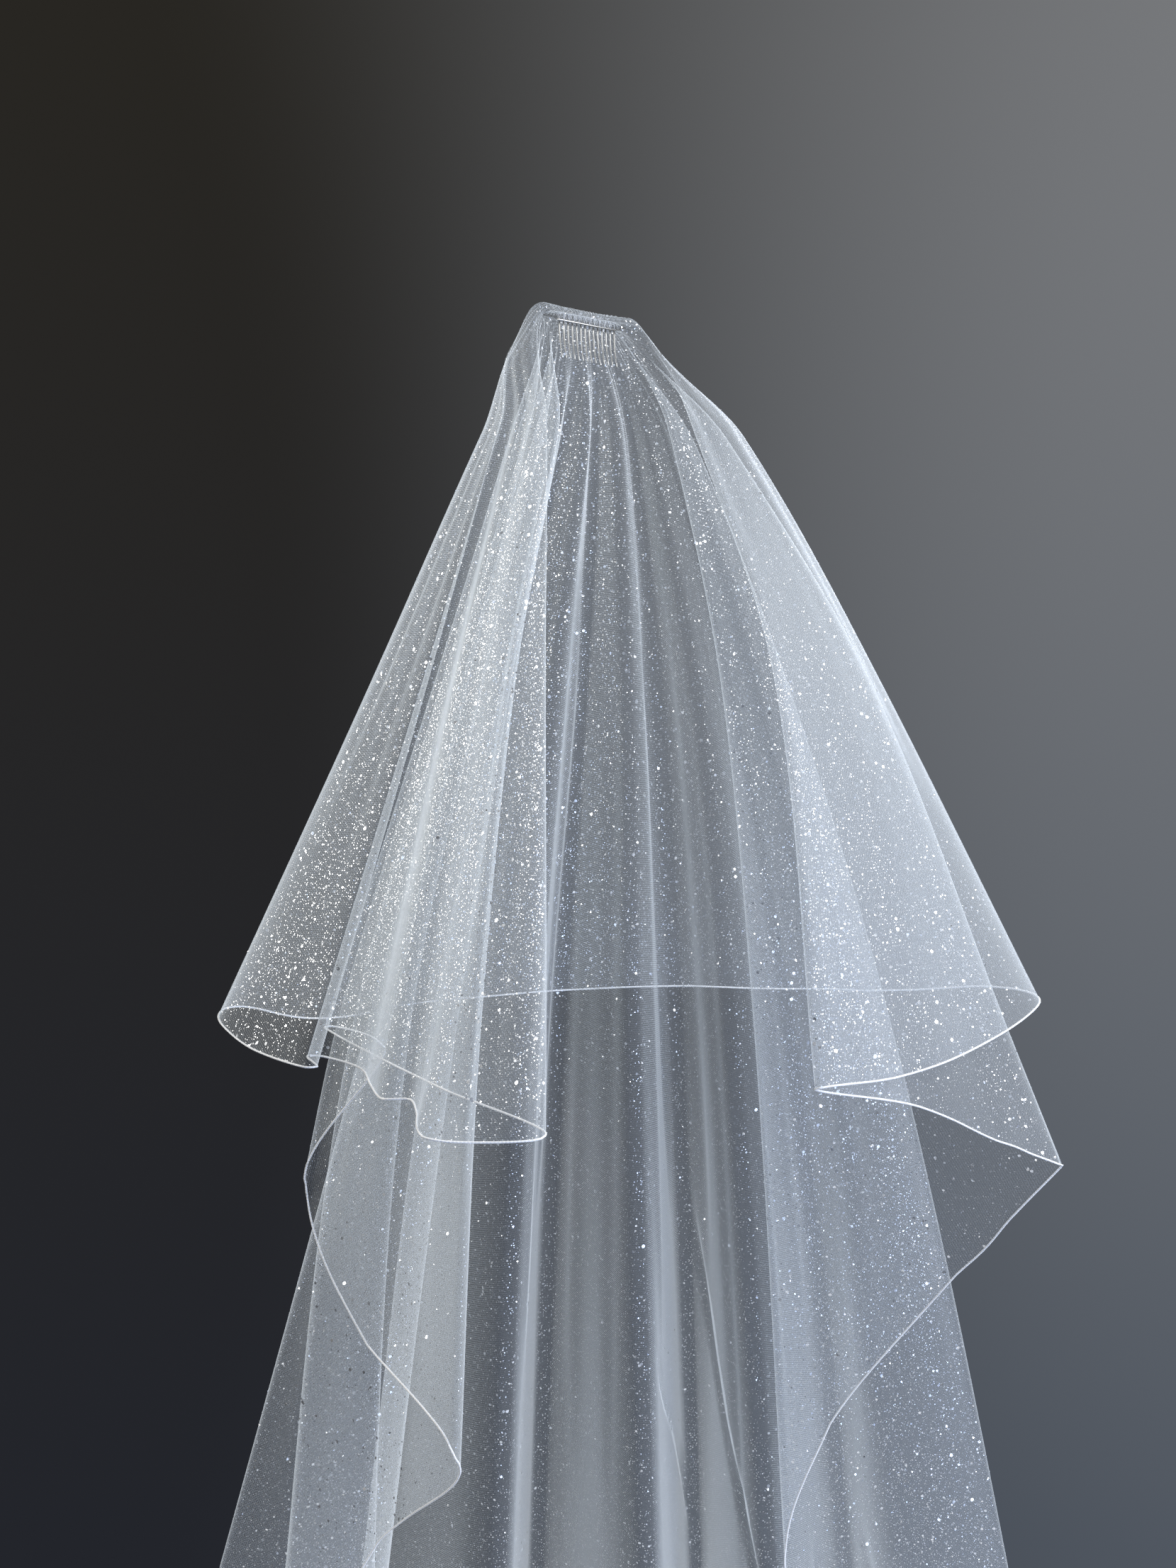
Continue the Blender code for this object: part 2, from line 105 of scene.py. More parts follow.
FOLDS = tuple(Fold(*row) for row in (
    ("right front fold", 0.97, -0.60, (106, -40), (170, -150), (201, -196), (202, -200, -724)),
    ("right front", 1.00, -0.30, (127, -35), (209, -126), (273, -166), (279, -169, -720)),
    ("right front swell", 1.00, -0.10, (146, -22), (257, -86), (363, -112), (367, -112, -701)),
    ("right outer fold", 1.00, 0.35, (160, 6), (290, -14), (443, -24), (446, -20, -672)),
    ("right back turn", 0.93, 0.80, (149, 34), (277, 38), (421, 62), (423, 64, -670)),
    ("right back", 0.60, 1.00, (111, 62), (209, 96), (318, 166), (318, 168, -687)),
    ("back centre", 0.10, 1.00, (31, 88), (43, 146), (73, 202), (73, 204, -687)),
    ("left back", -0.40, 1.00, (-53, 66), (-112, 116), (-157, 160), (-159, 162, -697)),
    ("left back dip", -0.70, 1.00, (-89, 34), (-179, 68), (-277, 86), (-279, 88, -706)),
    ("left back turn", -0.82, 1.00, (-102, 2), (-209, 18), (-343, 10), (-345, 10, -683)),
    ("left outer fold", -0.90, 0.85, (-98, -31), (-206, -30), (-349, -64), (-349, -66, -684)),
    ("left front swell", -0.95, 0.65, (-89, -53), (-179, -76), (-303, -114), (-309, -114, -704)),
    ("first pleat", -0.98, 0.45, (-80, -69), (-144, -116), (-233, -160), (-242, -166, -713)),
    ("first pleat back", -0.99, 0.30, (-79, -61), (-148, -92), (-246, -120), (-252, -118, -710)),
    ("second pleat side", -1.00, 0.15, (-71, -63), (-127, -104), (-199, -146), (-204, -148, -715)),
    ("second pleat", -1.00, 0.00, (-63, -78), (-113, -144), (-166, -222), (-171, -234, -728)),
    ("third pleat side", -1.00, -0.20, (-57, -79), (-97, -150), (-143, -228), (-148, -239, -731)),
    ("third pleat", -1.00, -0.40, (-50, -91), (-79, -174), (-117, -278), (-131, -302, -744)),
    ("front swell", -0.98, -0.60, (-43, -96), (-57, -180), (-81, -290), (-87, -308, -747)),
    ("left front fold", -0.96, -0.80, (-35, -95), (-35, -172), (-32, -284), (-32, -300, -743)),
    ("inner return", -0.92, -1.00, (-49, -76), (-83, -126), (-125, -204), (-126, -212, -719)),
    ("inner left fold", -0.88, -1.00, (-69, -48), (-141, -68), (-242, -76), (-244, -76, -687)),
    ("hidden turn", -0.85, -1.00, (-54, -49), (-111, -80), (-183, -104), (-187, -102, -702)),
    ("left cascade fold", -0.82, -1.00, (-65, -32), (-137, -38), (-239, -34), (-272, -34, -844)),
    ("left cascade edge", -0.79, -1.00, (-46, -44), (-101, -66), (-173, -84), (-204, -90, -984)),
    ("left lower front", -0.76, -1.00, (-26, -61), (-66, -122), (-96, -176), (-111, -198, -1048)),
    ("left lower return", -0.72, -1.00, (-39, -33), (-89, -54), (-143, -70), (-199, -54, -1186)),
    ("left lower fold", -0.67, -1.00, (-59, -13), (-131, -6), (-229, 12), (-319, 14, -1438)),
    ("left inner fold", -0.62, -1.00, (-42, -12), (-101, -14), (-173, -10), (-227, 60, -1558)),
    ("left floor fold", -0.55, -1.00, (-51, 4), (-123, 22), (-217, 56), (-491, 86, -1672)),
    ("back flute 1", -0.44, -1.00, (-26, 7), (-79, 28), (-133, 60), (-267, 120, -1686)),
    ("back flute 2", -0.30, -1.00, (-26, 28), (-81, 72), (-155, 130), (-297, 380, -1680)),
    ("back flute 3", -0.16, -1.00, (1, 15), (-31, 36), (-61, 42), (-107, 140, -1688)),
    ("back flute 4", -0.02, -1.00, (9, 41), (-3, 94), (-27, 146), (-71, 480, -1684)),
    ("back flute 5", 0.12, -1.00, (33, 22), (43, 48), (49, 52), (79, 184, -1688)),
    ("back flute 6", 0.26, -1.00, (49, 48), (75, 100), (97, 154), (151, 520, -1684)),
    ("back flute 7", 0.38, -1.00, (65, 32), (113, 52), (149, 74), (229, 224, -1688)),
    ("back flute 8", 0.48, -1.00, (85, 42), (151, 90), (215, 146), (353, 470, -1682)),
    ("back flute 9", 0.56, -1.00, (93, 28), (175, 60), (249, 98), (403, 280, -1686)),
    ("right floor fold", 0.64, -1.00, (111, 30), (211, 56), (317, 100), (543, 220, -1672)),
    ("right inner fold", 0.70, -1.00, (86, 3), (137, 22), (171, 44), (217, 150, -1308)),
    ("right lower edge", 0.74, -1.00, (107, 6), (177, 6), (233, 26), (257, 96, -1132)),
    ("right cascade back", 0.78, -1.00, (125, 5), (231, -8), (323, -6), (371, 8, -947)),
    ("right cascade fold", 0.82, -1.00, (139, 0), (277, -34), (405, -50), (455, -66, -821)),
    ("right cascade front", 0.86, -1.00, (132, -11), (251, -66), (355, -86), (383, -96, -790)),
    ("right cascade swell", 0.90, -1.00, (118, -23), (215, -102), (285, -134), (303, -134, -751)),
))


class Place(NamedTuple):
    """A line down the cloth: a share of the way from the named fold to the next."""

    fold: str
    share: float


class Crease(NamedTuple):
    """A soft ridge, or a trough where rise is below zero, between two depths.

    head and foot are its shares of the way from the fold to the next. The foot is counted
    from another fold where foot_fold names one.
    """

    fold: str
    head: float
    foot: float
    top: float
    end: float
    width: float
    rise: float
    foot_fold: str = ""


CREASES = tuple(Crease(*row) for row in (
    ("right front fold", 0.50, 0.60, 30, 330, 6, 2.5),
    ("right front swell", 0.50, 0.60, 60, 640, 14, 3.0),
    ("right outer fold", 0.50, 0.40, 30, 420, 9, 2.5),
    ("right back turn", 0.40, 0.50, 40, 600, 14, -3.0),
    ("right back", 0.30, 0.35, 20, 500, 12, 3.0),
    ("right back", 0.70, 0.60, 60, 650, 16, -3.0),
    ("back centre", 0.30, 0.20, 20, 560, 12, 3.0),
    ("back centre", 0.70, 0.75, 40, 650, 15, 3.0),
    ("left back", 0.50, 0.40, 30, 520, 10, -3.0),
    ("left back dip", 0.50, 0.55, 60, 600, 10, 2.5),
    ("left outer fold", 0.60, 0.45, 30, 590, 8, 3.0),
    ("left front swell", 0.30, 0.40, 60, 660, 9, 3.5),
    ("left front swell", 0.70, 0.75, 20, 380, 6, 2.5),
    ("front swell", 0.50, 0.60, 20, 430, 7, 2.5),
    ("left cascade edge", 0.50, 0.60, 40, 720, 12, 3.0),
    ("left lower front", 0.50, 0.40, 60, 900, 14, -3.0),
    ("left lower fold", 0.40, 0.55, 80, 1250, 16, 4.0),
    ("left inner fold", 0.50, 0.60, 60, 1400, 18, 4.0),
    ("left floor fold", 0.45, 0.55, 200, 1600, 20, -4.0),
    ("back flute 5", 0.15, 0.15, 1060, 1480, 7, 4.5, "back flute 6"),
    ("back flute 6", 0.10, 0.05, 930, 1520, 9, 6.0, "back flute 7"),
    ("right floor fold", 0.50, 0.45, 60, 1100, 15, 3.5),
    ("right lower edge", 0.50, 0.50, 60, 860, 12, 3.0),
    ("right cascade back", 0.50, 0.55, 50, 760, 12, -3.0),
    ("right cascade fold", 0.60, 0.50, 30, 640, 9, 2.5),
))


class Scallop(NamedTuple):
    """A stretch of hem that lifts between two folds, which hang as points."""

    first: str
    last: str
    lift: float
    reach: float


SCALLOPS = (
    Scallop("first pleat", "second pleat", -1.0, 60.0),
    Scallop("second pleat", "third pleat", 5.0, 50.0),
    Scallop("left cascade edge", "left lower front", 5.0, 60.0),
    Scallop("right lower edge", "right cascade back", 5.0, 60.0),
)


# folds whose hem comes to a sharp corner, and how far up the cloth that is felt
HEM_CORNERS = ("right cascade fold",)
CORNER_REACH = 90.0


class GlintBand(NamedTuple):
    """A stretch where the flakes are set denser or sparser than usual, given as a share of the
    usual density, as painted glint where the glitter flashes more or less.
    """

    first: Place
    last: Place
    density: float


# denser flakes where the glitter glints and sparser where it doesn't: painted glint in place of
# even glitter
GLINT_BANDS = (
    GlintBand(Place("right front fold", 0.0), Place("right front", 0.6), 0.6),
    GlintBand(Place("right front swell", 0.3), Place("right outer fold", 0.9), 1.7),
    GlintBand(Place("left back turn", 0.0), Place("left outer fold", 0.4), 0.8),
    GlintBand(Place("left outer fold", 0.4), Place("first pleat", 0.0), 2.0),
    GlintBand(Place("first pleat", 0.3), Place("third pleat", 0.2), 0.35),
    GlintBand(Place("inner return", 0.0), Place("left lower front", 0.5), 0.4),
    GlintBand(Place("left floor fold", 0.5), Place("back flute 7", 0.0), 1.3),
    GlintBand(Place("right lower edge", 0.3), Place("right cascade fold", 0.8), 1.6),
)


# depths between which a flute buckles where it meets the floor
FLOOR_BUCKLE_TOP = 1380
FLOOR_BUCKLE_END = 1900


def flute_creases(seed: int) -> tuple[Crease, ...]:
    """Two uneven creases down each flute of the back, and a buckle where it meets the floor.

    Args:
        seed: Start of the random draws.

    Returns:
        The creases.
    """
    chance = np.random.default_rng(seed)
    creases = []
    for fold in FOLDS:
        if not fold.name.startswith("back flute"):
            continue
        for share in (0.33, 0.68):
            top, long = chance.uniform(40, 300), chance.uniform(700, 1250)
            creases.append(Crease(fold.name, share, share + chance.uniform(-0.08, 0.08),
                                  top, top + long, chance.uniform(11, 18),
                                  chance.uniform(2.5, 4.0) * chance.choice([-1, 1])))
        share = chance.uniform(0.35, 0.65)
        creases.append(Crease(fold.name, share, share + 0.06, FLOOR_BUCKLE_TOP, FLOOR_BUCKLE_END,
                              chance.uniform(14, 22), chance.uniform(3.0, 5.0)))
    return tuple(creases)


def linear(colour: str) -> tuple[float, float, float, float]:
    """Linear colour of an sRGB hex value, with full alpha.

    Args:
        colour: The colour as #RRGGBB.

    Returns:
        Red, green, blue and alpha.
    """
    parts = (int(colour[i:i + 2], 16) / 255.0 for i in (1, 3, 5))
    low, high = 0.04045, 2.4
    values = [p / 12.92 if p <= low else ((p + 0.055) / 1.055) ** high for p in parts]
    return (values[0], values[1], values[2], 1.0)


def band_scale(pitch: float) -> float:
    """Scale of a wave node whose bands are a pitch in millimetres apart."""
    return math.pi / 10.0 / (pitch * MM)


def add_node(tree: bpy.types.NodeTree, kind: str, inputs: dict[Any, Any] | None = None,
             **settings: Any) -> bpy.types.Node:
    """Add a shader node with its settings and links.

    Args:
        tree: The node tree to add to.
        kind: The node's type name, without its leading ShaderNode.
        inputs: Value for each input's name or number. A socket is linked, and so is the
            first output of a node.
        settings: The node's own properties.

    Returns:
        The new node.
    """
    node = tree.nodes.new("ShaderNode" + kind)
    for name, value in settings.items():
        setattr(node, name, value)
    for key, value in (inputs or {}).items():
        if isinstance(value, bpy.types.Node):
            value = value.outputs[0]
        if isinstance(value, bpy.types.NodeSocket):
            tree.links.new(value, node.inputs[key])
        else:
            node.inputs[key].default_value = value
    return node


def two_tone(tree: bpy.types.NodeTree, share: bpy.types.NodeSocket, first: str,
             second: str) -> bpy.types.NodeSocket:
    """Colour that runs from one sRGB tone to another with the share.

    Args:
        tree: The node tree to add to.
        share: Socket of the share, 0 at the first tone.
        first: The first tone.
        second: The second tone.

    Returns:
        The colour's socket.
    """
    mix = add_node(tree, "Mix", {"Factor": share, "A": linear(first), "B": linear(second)},
                   data_type="RGBA")
    return mix.outputs["Result"]


def new_material(name: str) -> tuple[bpy.types.Material, bpy.types.NodeTree]:
    """An empty node material and its tree.

    Args:
        name: The material's name.

    Returns:
        The material and its cleared node tree.
    """
    material = bpy.data.materials.new(name)
    material.use_nodes = True
    material.node_tree.nodes.clear()
    return material, material.node_tree


@dataclass(frozen=True)
class GlitterTulle:
    """Nylon tulle knitted to a fine even net, with glitter dust fused to one face.

    The eye sees a pale haze that thickens where the cloth turns edge-on, faint slanted
    lines where the net's rows show, and specks that flash as the cloth turns.
    """

    name: str = "glitter_tulle"
    yarn: str = "#EBF1F5"
    speck: str = "#FFFFFF"
    cover: float = 0.068
    line_cover: float = 0.085
    cross_cover: float = 0.02
    # the net's rows are 1 mm apart, drawn at 2.2 mm so that they show
    row_pitch: float = 2.2
    row_turn: float = 90.0
    cross_turn: float = 30.0
    # heights of the wave at which a row begins and is full
    row_edges: tuple[float, float] = (0.35, 0.95)
    # how fast the threads close up as the cloth turns edge-on, and where that ends
    edge_power: float = -1.35
    edge_limit: float = 0.16
    # side of a cell of the dust in millimetres, the share of cells left empty, the dots'
    # greatest size as a share of a cell, and how far they lean
    dust_cell: float = 3.0
    dust_empty: float = 0.45
    dust_size: float = 0.17
    dust_lean: float = 0.35
    translucent: float = 0.35

    def rows(self, tree: bpy.types.NodeTree, metres: bpy.types.Node, turn: float,
             cover: float) -> bpy.types.Node:
        """Cover of one family of net rows.

        Args:
            tree: The material's node tree.
            metres: Flat cut coordinates in metres.
            turn: Direction of the rows in degrees.
            cover: The cover at a row's middle.

        Returns:
            The node that gives the cover.
        """
        turned = add_node(tree, "Mapping",
                          {"Vector": metres, "Rotation": (0, 0, math.radians(turn))})
        wave = add_node(tree, "TexWave",
                        {"Vector": turned, "Scale": band_scale(self.row_pitch)},
                        wave_type="BANDS", bands_direction="X", wave_profile="SIN")
        return add_node(tree, "MapRange",
                        {"Value": wave.outputs["Fac"], "From Min": self.row_edges[0],
                         "From Max": self.row_edges[1], "To Min": 0.0, "To Max": cover})

    def dust(self, tree: bpy.types.NodeTree,
             metres: bpy.types.Node) -> tuple[bpy.types.Node, bpy.types.NodeSocket]:
        """Glitter dust: dots of uneven size, one in each cell of a scatter.

        Args:
            tree: The material's node tree.
            metres: Flat cut coordinates in metres.

        Returns:
            The mask of the dots, and a random vector for each.
        """
        scatter = add_node(tree, "TexVoronoi",
                           {"Vector": metres, "Scale": 1.0 / (self.dust_cell * MM),
                            "Randomness": 1.0}, voronoi_dimensions="2D", feature="F1")
        parts = add_node(tree, "SeparateColor", {"Color": scatter.outputs["Color"]})
        size = add_node(tree, "MapRange",
                        {"Value": parts.outputs[0], "From Min": self.dust_empty, "From Max": 1.0,
                         "To Min": 0.0, "To Max": self.dust_size})
        dot = add_node(tree, "Math", {0: scatter.outputs["Distance"], 1: size},
                       operation="LESS_THAN")
        return dot, scatter.outputs["Color"]

    def material(self) -> bpy.types.Material:
        """Build the tulle's material."""
        material, tree = new_material(self.name)
        cut = add_node(tree, "UVMap", uv_map="cut")
        metres = add_node(tree, "Mapping", {"Vector": cut, "Scale": (CUT_SPAN,) * 3})
        rows = self.rows(tree, metres, self.row_turn, self.line_cover)
        cross = self.rows(tree, metres, self.cross_turn, self.cross_cover)
        both = add_node(tree, "Math", {0: rows, 1: cross}, operation="ADD")
        net = add_node(tree, "Math", {0: both, 1: self.cover}, operation="ADD")
        # threads close up as the cloth turns edge-on, which is the net's silvery sheen
        facing = add_node(tree, "LayerWeight", {"Blend": 0.5})
        square = add_node(tree, "Math", {0: 1.0, 1: facing.outputs["Facing"]},
                          operation="SUBTRACT")
        held = add_node(tree, "Math", {0: square, 1: self.edge_limit}, operation="MAXIMUM")
        depth = add_node(tree, "Math", {0: held, 1: self.edge_power}, operation="POWER")
        clear = add_node(tree, "Math", {0: 1.0, 1: net}, operation="SUBTRACT")
        passing = add_node(tree, "Math", {0: clear, 1: depth}, operation="POWER")
        cover = add_node(tree, "Math", {0: 1.0, 1: passing}, operation="SUBTRACT")
        dot, tint = self.dust(tree, metres)
        alpha = add_node(tree, "Math", {0: cover, 1: dot}, operation="MAXIMUM")
        tilt = add_node(tree, "VectorMath", {0: tint, 1: (0.5, 0.5, 0.5)}, operation="SUBTRACT")
        lean = add_node(tree, "VectorMath", {0: tilt, "Scale": self.dust_lean},
                        operation="SCALE")
        normal = add_node(tree, "NewGeometry")
        leaned = add_node(tree, "VectorMath", {0: normal.outputs["Normal"], 1: lean},
                          operation="ADD")
        unit_normal = add_node(tree, "VectorMath", {0: leaned}, operation="NORMALIZE")
        yarn = add_node(tree, "BsdfPrincipled",
                        {"Base Color": linear(self.yarn), "Roughness": 0.5,
                         "Specular IOR Level": 0.35, "Sheen Weight": 0.4,
                         "Sheen Roughness": 0.4})
        behind = add_node(tree, "BsdfTranslucent", {"Color": linear(self.yarn)})
        net_shader = add_node(tree, "MixShader", {0: self.translucent, 1: yarn, 2: behind})
        speck = add_node(tree, "BsdfPrincipled",
                         {"Base Color": linear(self.speck), "Metallic": 0.8,
                          "Roughness": 0.35, "Normal": unit_normal})
        solid = add_node(tree, "MixShader", {0: dot, 1: net_shader, 2: speck})
        open_net = add_node(tree, "BsdfTransparent")
        surface = add_node(tree, "MixShader", {0: alpha, 1: open_net, 2: solid})
        add_node(tree, "OutputMaterial", {"Surface": surface})
        return material


@dataclass(frozen=True)
class GlitterFlake:
    """Flakes of metallised polyester: small bright mirrors that have gone a little soft."""

    name: str = "glitter_flake"
    colour: str = "#FBFCFF"
    metallic: float = 0.88
    roughness: float = 0.27
    cloud_scale: float = 90.0

    def material(self) -> bpy.types.Material:
        """Build the flakes' material."""
        material, tree = new_material(self.name)
        place = add_node(tree, "TexCoord")
        cloud = add_node(tree, "TexNoise", {"Vector": place.outputs["Object"],
                                           "Scale": self.cloud_scale})
        rough = add_node(tree, "MapRange",
                         {"Value": cloud.outputs["Fac"], "To Min": self.roughness - 0.08,
                          "To Max": self.roughness + 0.08})
        shader = add_node(tree, "BsdfPrincipled",
                          {"Base Color": linear(self.colour), "Metallic": self.metallic,
                           "Roughness": rough})
        add_node(tree, "OutputMaterial", {"Surface": shader})
        return material


@dataclass(frozen=True)
class TwistedCord:
    """White polyester cord sewn into the rolled edge: satin plies that catch the light, with
    painted shade in the grooves between them.
    """

    name: str = "corded_edge"
    colour: str = "#FFFFFF"
    # darker tone of the grooves between the plies, a painted shade
    groove_shade: str = "#EEF1F6"
    # the plies turn once in 1.6 mm of cord, drawn every 3 mm so that they show
    ply_pitch: float = 3.0

    def material(self) -> bpy.types.Material:
        """Build the cord's material."""
        material, tree = new_material(self.name)
        run = add_node(tree, "UVMap", uv_map="run")
        turned = add_node(tree, "Mapping", {"Vector": run,
                           "Scale": (1.0, self.ply_pitch * MM, 1.0),
                           "Rotation": (0, 0, math.radians(-12.0))})
        plies = add_node(tree, "TexWave",
                         {"Vector": turned,
                          "Scale": band_scale(self.ply_pitch)},
                         wave_type="BANDS", bands_direction="X")
        # the grooves, where the bump is low, take the darker tone: painted shade
        colour = two_tone(tree, plies.outputs["Fac"], self.groove_shade, self.colour)
        bump = add_node(tree, "Bump", {"Height": plies.outputs["Fac"],
                                                 "Strength": 0.5, "Distance": 0.2 * MM})
        shader = add_node(tree, "BsdfPrincipled",
                          {"Base Color": colour, "Roughness": 0.38,
                           "Sheen Weight": 0.3, "Normal": bump})
        add_node(tree, "OutputMaterial", {"Surface": shader})
        return material


@dataclass(frozen=True)
class SewingThread:
    """Mercerised white thread: a fine twist with a soft lustre."""

    name: str = "sewing_thread"
    colour: str = "#EFF2F7"
    # darker tone of the twist's grooves, a painted shade
    groove_shade: str = "#BFC5CF"
    twist_pitch: float = 0.4

    def material(self) -> bpy.types.Material:
        """Build the thread's material."""
        material, tree = new_material(self.name)
        place = add_node(tree, "TexCoord")
        # the twist shows as a fine diagonal grain, with painted shade in its grooves
        grain = add_node(tree, "TexWave",
                         {"Vector": place.outputs["Object"],
                          "Scale": band_scale(self.twist_pitch)},
                         wave_type="BANDS", bands_direction="DIAGONAL")
        colour = two_tone(tree, grain.outputs["Fac"], self.groove_shade, self.colour)
        shader = add_node(tree, "BsdfPrincipled",
                          {"Base Color": colour, "Roughness": 0.5,
                           "Sheen Weight": 0.3})
        add_node(tree, "OutputMaterial", {"Surface": shader})
        return material


@dataclass(frozen=True)
class PlatedWire:
    """Silver-plated steel wire: drawn and polished, with a faint uneven tarnish."""

    name: str = "silver_plated_wire"
    colour: str = "#B4B5B6"
    tarnish: str = "#8B8985"

    def material(self) -> bpy.types.Material:
        """Build the wire's material."""
        material, tree = new_material(self.name)
        place = add_node(tree, "TexCoord")
        cloud = add_node(tree, "TexNoise", {"Vector": place.outputs["Object"],
                                           "Scale": 160.0, "Detail": 4.0})
        colour = two_tone(tree, cloud.outputs["Fac"], self.colour, self.tarnish)
        rough = add_node(tree, "MapRange",
                         {"Value": cloud.outputs["Fac"], "To Min": 0.26, "To Max": 0.42})
        shader = add_node(tree, "BsdfPrincipled",
                          {"Base Color": colour, "Metallic": 1.0,
                           "Roughness": rough})
        add_node(tree, "OutputMaterial", {"Surface": shader})
        return material


def unit(v: np.ndarray) -> np.ndarray:
    """Vectors scaled to length one."""
    return v / np.maximum(np.linalg.norm(v, axis=-1, keepdims=True), 1e-9)


def smooth_step(value: np.ndarray) -> np.ndarray:
    """Smooth rise from 0 to 1 as value goes from 0 to 1."""
    t = np.clip(value, 0.0, 1.0)
    return t * t * (3.0 - 2.0 * t)


def through(before: np.ndarray, first: np.ndarray, second: np.ndarray, after: np.ndarray,
            share: float) -> np.ndarray:
    """Point on the smooth curve through four neighbours, between the middle two.

    Args:
        before: Points on the line before.
        first: Points on the line where share is 0.
        second: Points on the line where share is 1.
        after: Points on the line after.
        share: How far along from first to second.

    Returns:
        The points on the curve.
    """
    t1 = np.linalg.norm(first - before, axis=-1, keepdims=True) ** 0.5 + 1e-6
    t2 = t1 + np.linalg.norm(second - first, axis=-1, keepdims=True) ** 0.5 + 1e-6
    t3 = t2 + np.linalg.norm(after - second, axis=-1, keepdims=True) ** 0.5 + 1e-6
    t = t1 + (t2 - t1) * share
    a1 = (t1 - t) / t1 * before + t / t1 * first
    a2 = (t2 - t) / (t2 - t1) * first + (t - t1) / (t2 - t1) * second
    a3 = (t3 - t) / (t3 - t2) * second + (t - t2) / (t3 - t2) * after
    b1 = (t2 - t) / t2 * a1 + t / t2 * a2
    b2 = (t3 - t) / (t3 - t1) * a2 + (t - t1) / (t3 - t1) * a3
    return (t2 - t) / (t2 - t1) * b1 + (t - t1) / (t2 - t1) * b2


@dataclass
class Drape:
    """The hanging cloth as one closed surface, sampled in columns down from the comb.

    The sections and rules are those of the cloth's solids, read more finely.
    """

    near_comb: float = 14.0
    neck: float = 115.0
    shoulder: float = 358.0
    wrist: float = 688.0
    arch_height: float = 16.0
    arch_depth: float = 9.0
    arch_start: float = 3.0
    arch_front: float = 8.0
    # plan direction, x then y, that the cloth spreads in: powers of its place on the line
    spread: tuple[tuple[float, float, float], ...] = ((35.0, 69.5, 9.5), (55.0, -8.5, -78.5))
    # bend of a tight fold: its radius, and the most it may be of the shorter side
    fold_radius: float = 4.0
    fold_share: float = 0.12
    column_pitch: float = 6.5
    row_count: int = 150
    row_power: float = 1.6
    # share of the way from a corner to the next fold where the hem runs straight
    corner_hold: float = 0.45
    gather_rise: float = 0.8
    gather_fade: float = 110.0
    gather_pitch: float = 7.5
    # depth at which the gathers are counted, and how soon they begin below the comb
    gather_depth: float = 60.0
    gather_start: float = 10.0
    # slow waves that make the gathers uneven: height, share of the pleats' pitch, phase
    gather_wobble: tuple[tuple[float, float, float], ...] = (
        (1.2, 0.23, 1.0), (0.8, 0.41, 2.6), (0.5, 0.11, 4.0))
    # swells: height, number, shortest and longest, drift down the cloth, and the width
    # beside each fold that they leave flat and then rise over
    swell_rise: float = 2.2
    swell_count: int = 9
    swell_short: float = 50.0
    swell_long: float = 160.0
    swell_drift: float = 1100.0
    swell_clear: float = 8.0
    swell_ramp: float = 45.0
    seed: int = 7
    grid: np.ndarray = field(init=False, repr=False)
    normals: np.ndarray = field(init=False, repr=False)
    cut: np.ndarray = field(init=False, repr=False)
    starts: list[int] = field(init=False, repr=False)
    counts: list[int] = field(init=False, repr=False)

    def __post_init__(self) -> None:
        """Sample the surface, lay its creases in and unroll the flat cut."""
        self.grid = self.sample()
        self.shape_hem()
        self.normals = self.find_normals(self.grid)
        self.grid = self.grid + self.normals * self.relief()[..., None]
        self.normals = self.find_normals(self.grid)
        self.cut = self.unroll()

    def fold_plan(self, fold: Fold, depths: np.ndarray) -> np.ndarray:
        """Plan points of one fold line.

        Args:
            fold: The fold.
            depths: Depths below the comb.

        Returns:
            A plan point for each depth, smooth through the fold's sections.
        """
        base = ALONG * GATHER_HALF * fold.at
        tip = math.sqrt(max(0.0, 1.0 - fold.side ** 2)) * math.copysign(1.0, fold.at)
        back = max(fold.side, 0.0)
        spread = np.array([a + b * fold.at + c * fold.at ** 2 for a, b, c in self.spread])
        front = min(max((fold.side + 1.0) / 0.8, 0.0), 1.0)
        start = base * (0.8 - 0.2 * fold.side) + OUT * (1.5 - self.arch_front * front)
        near = base * 1.02 + ALONG * tip * 5.0 + spread * 0.10
        lobe = math.sin(math.pi * min(max(-fold.side, 0.0), 1.0))
        near = near + OUT * (2.5 + 4.0 * fold.side + 3.0 * back - 5.0 * lobe)
        knots = [(0.0, start), (self.near_comb, near), (self.neck, fold.neck),
                 (self.shoulder, fold.shoulder)]
        end = -fold.edge[2]
        if end > self.wrist + 40.0:
            knots.append((self.wrist, fold.wrist))
        knots.append((end, fold.edge[:2]))
        d = np.array([k[0] for k in knots])
        p = np.array([k[1] for k in knots], float)
        slope = (p[1:] - p[:-1]) / (d[1:] - d[:-1])[:, None]
        lower = np.array([0.5, 0.85, 0.6, 0.5])[:len(d) - 2, None]
        m = np.vstack([slope[:1], (1.0 - lower) * slope[:-1] + lower * slope[1:], slope[-1:]])
        i = np.clip(np.searchsorted(d, depths, side="right") - 1, 0, len(d) - 2)
        h = (d[i + 1] - d[i])[:, None]
        s = np.minimum((depths - d[i]) / (d[i + 1] - d[i]), 1.0)[:, None]
        curve = (2 * s ** 3 - 3 * s ** 2 + 1) * p[i] + (s ** 3 - 2 * s ** 2 + s) * h * m[i]
        curve = curve + (3 * s ** 2 - 2 * s ** 3) * p[i + 1] + (s ** 3 - s ** 2) * h * m[i + 1]
        return curve + np.maximum(depths - d[-1], 0.0)[:, None] * m[-1]

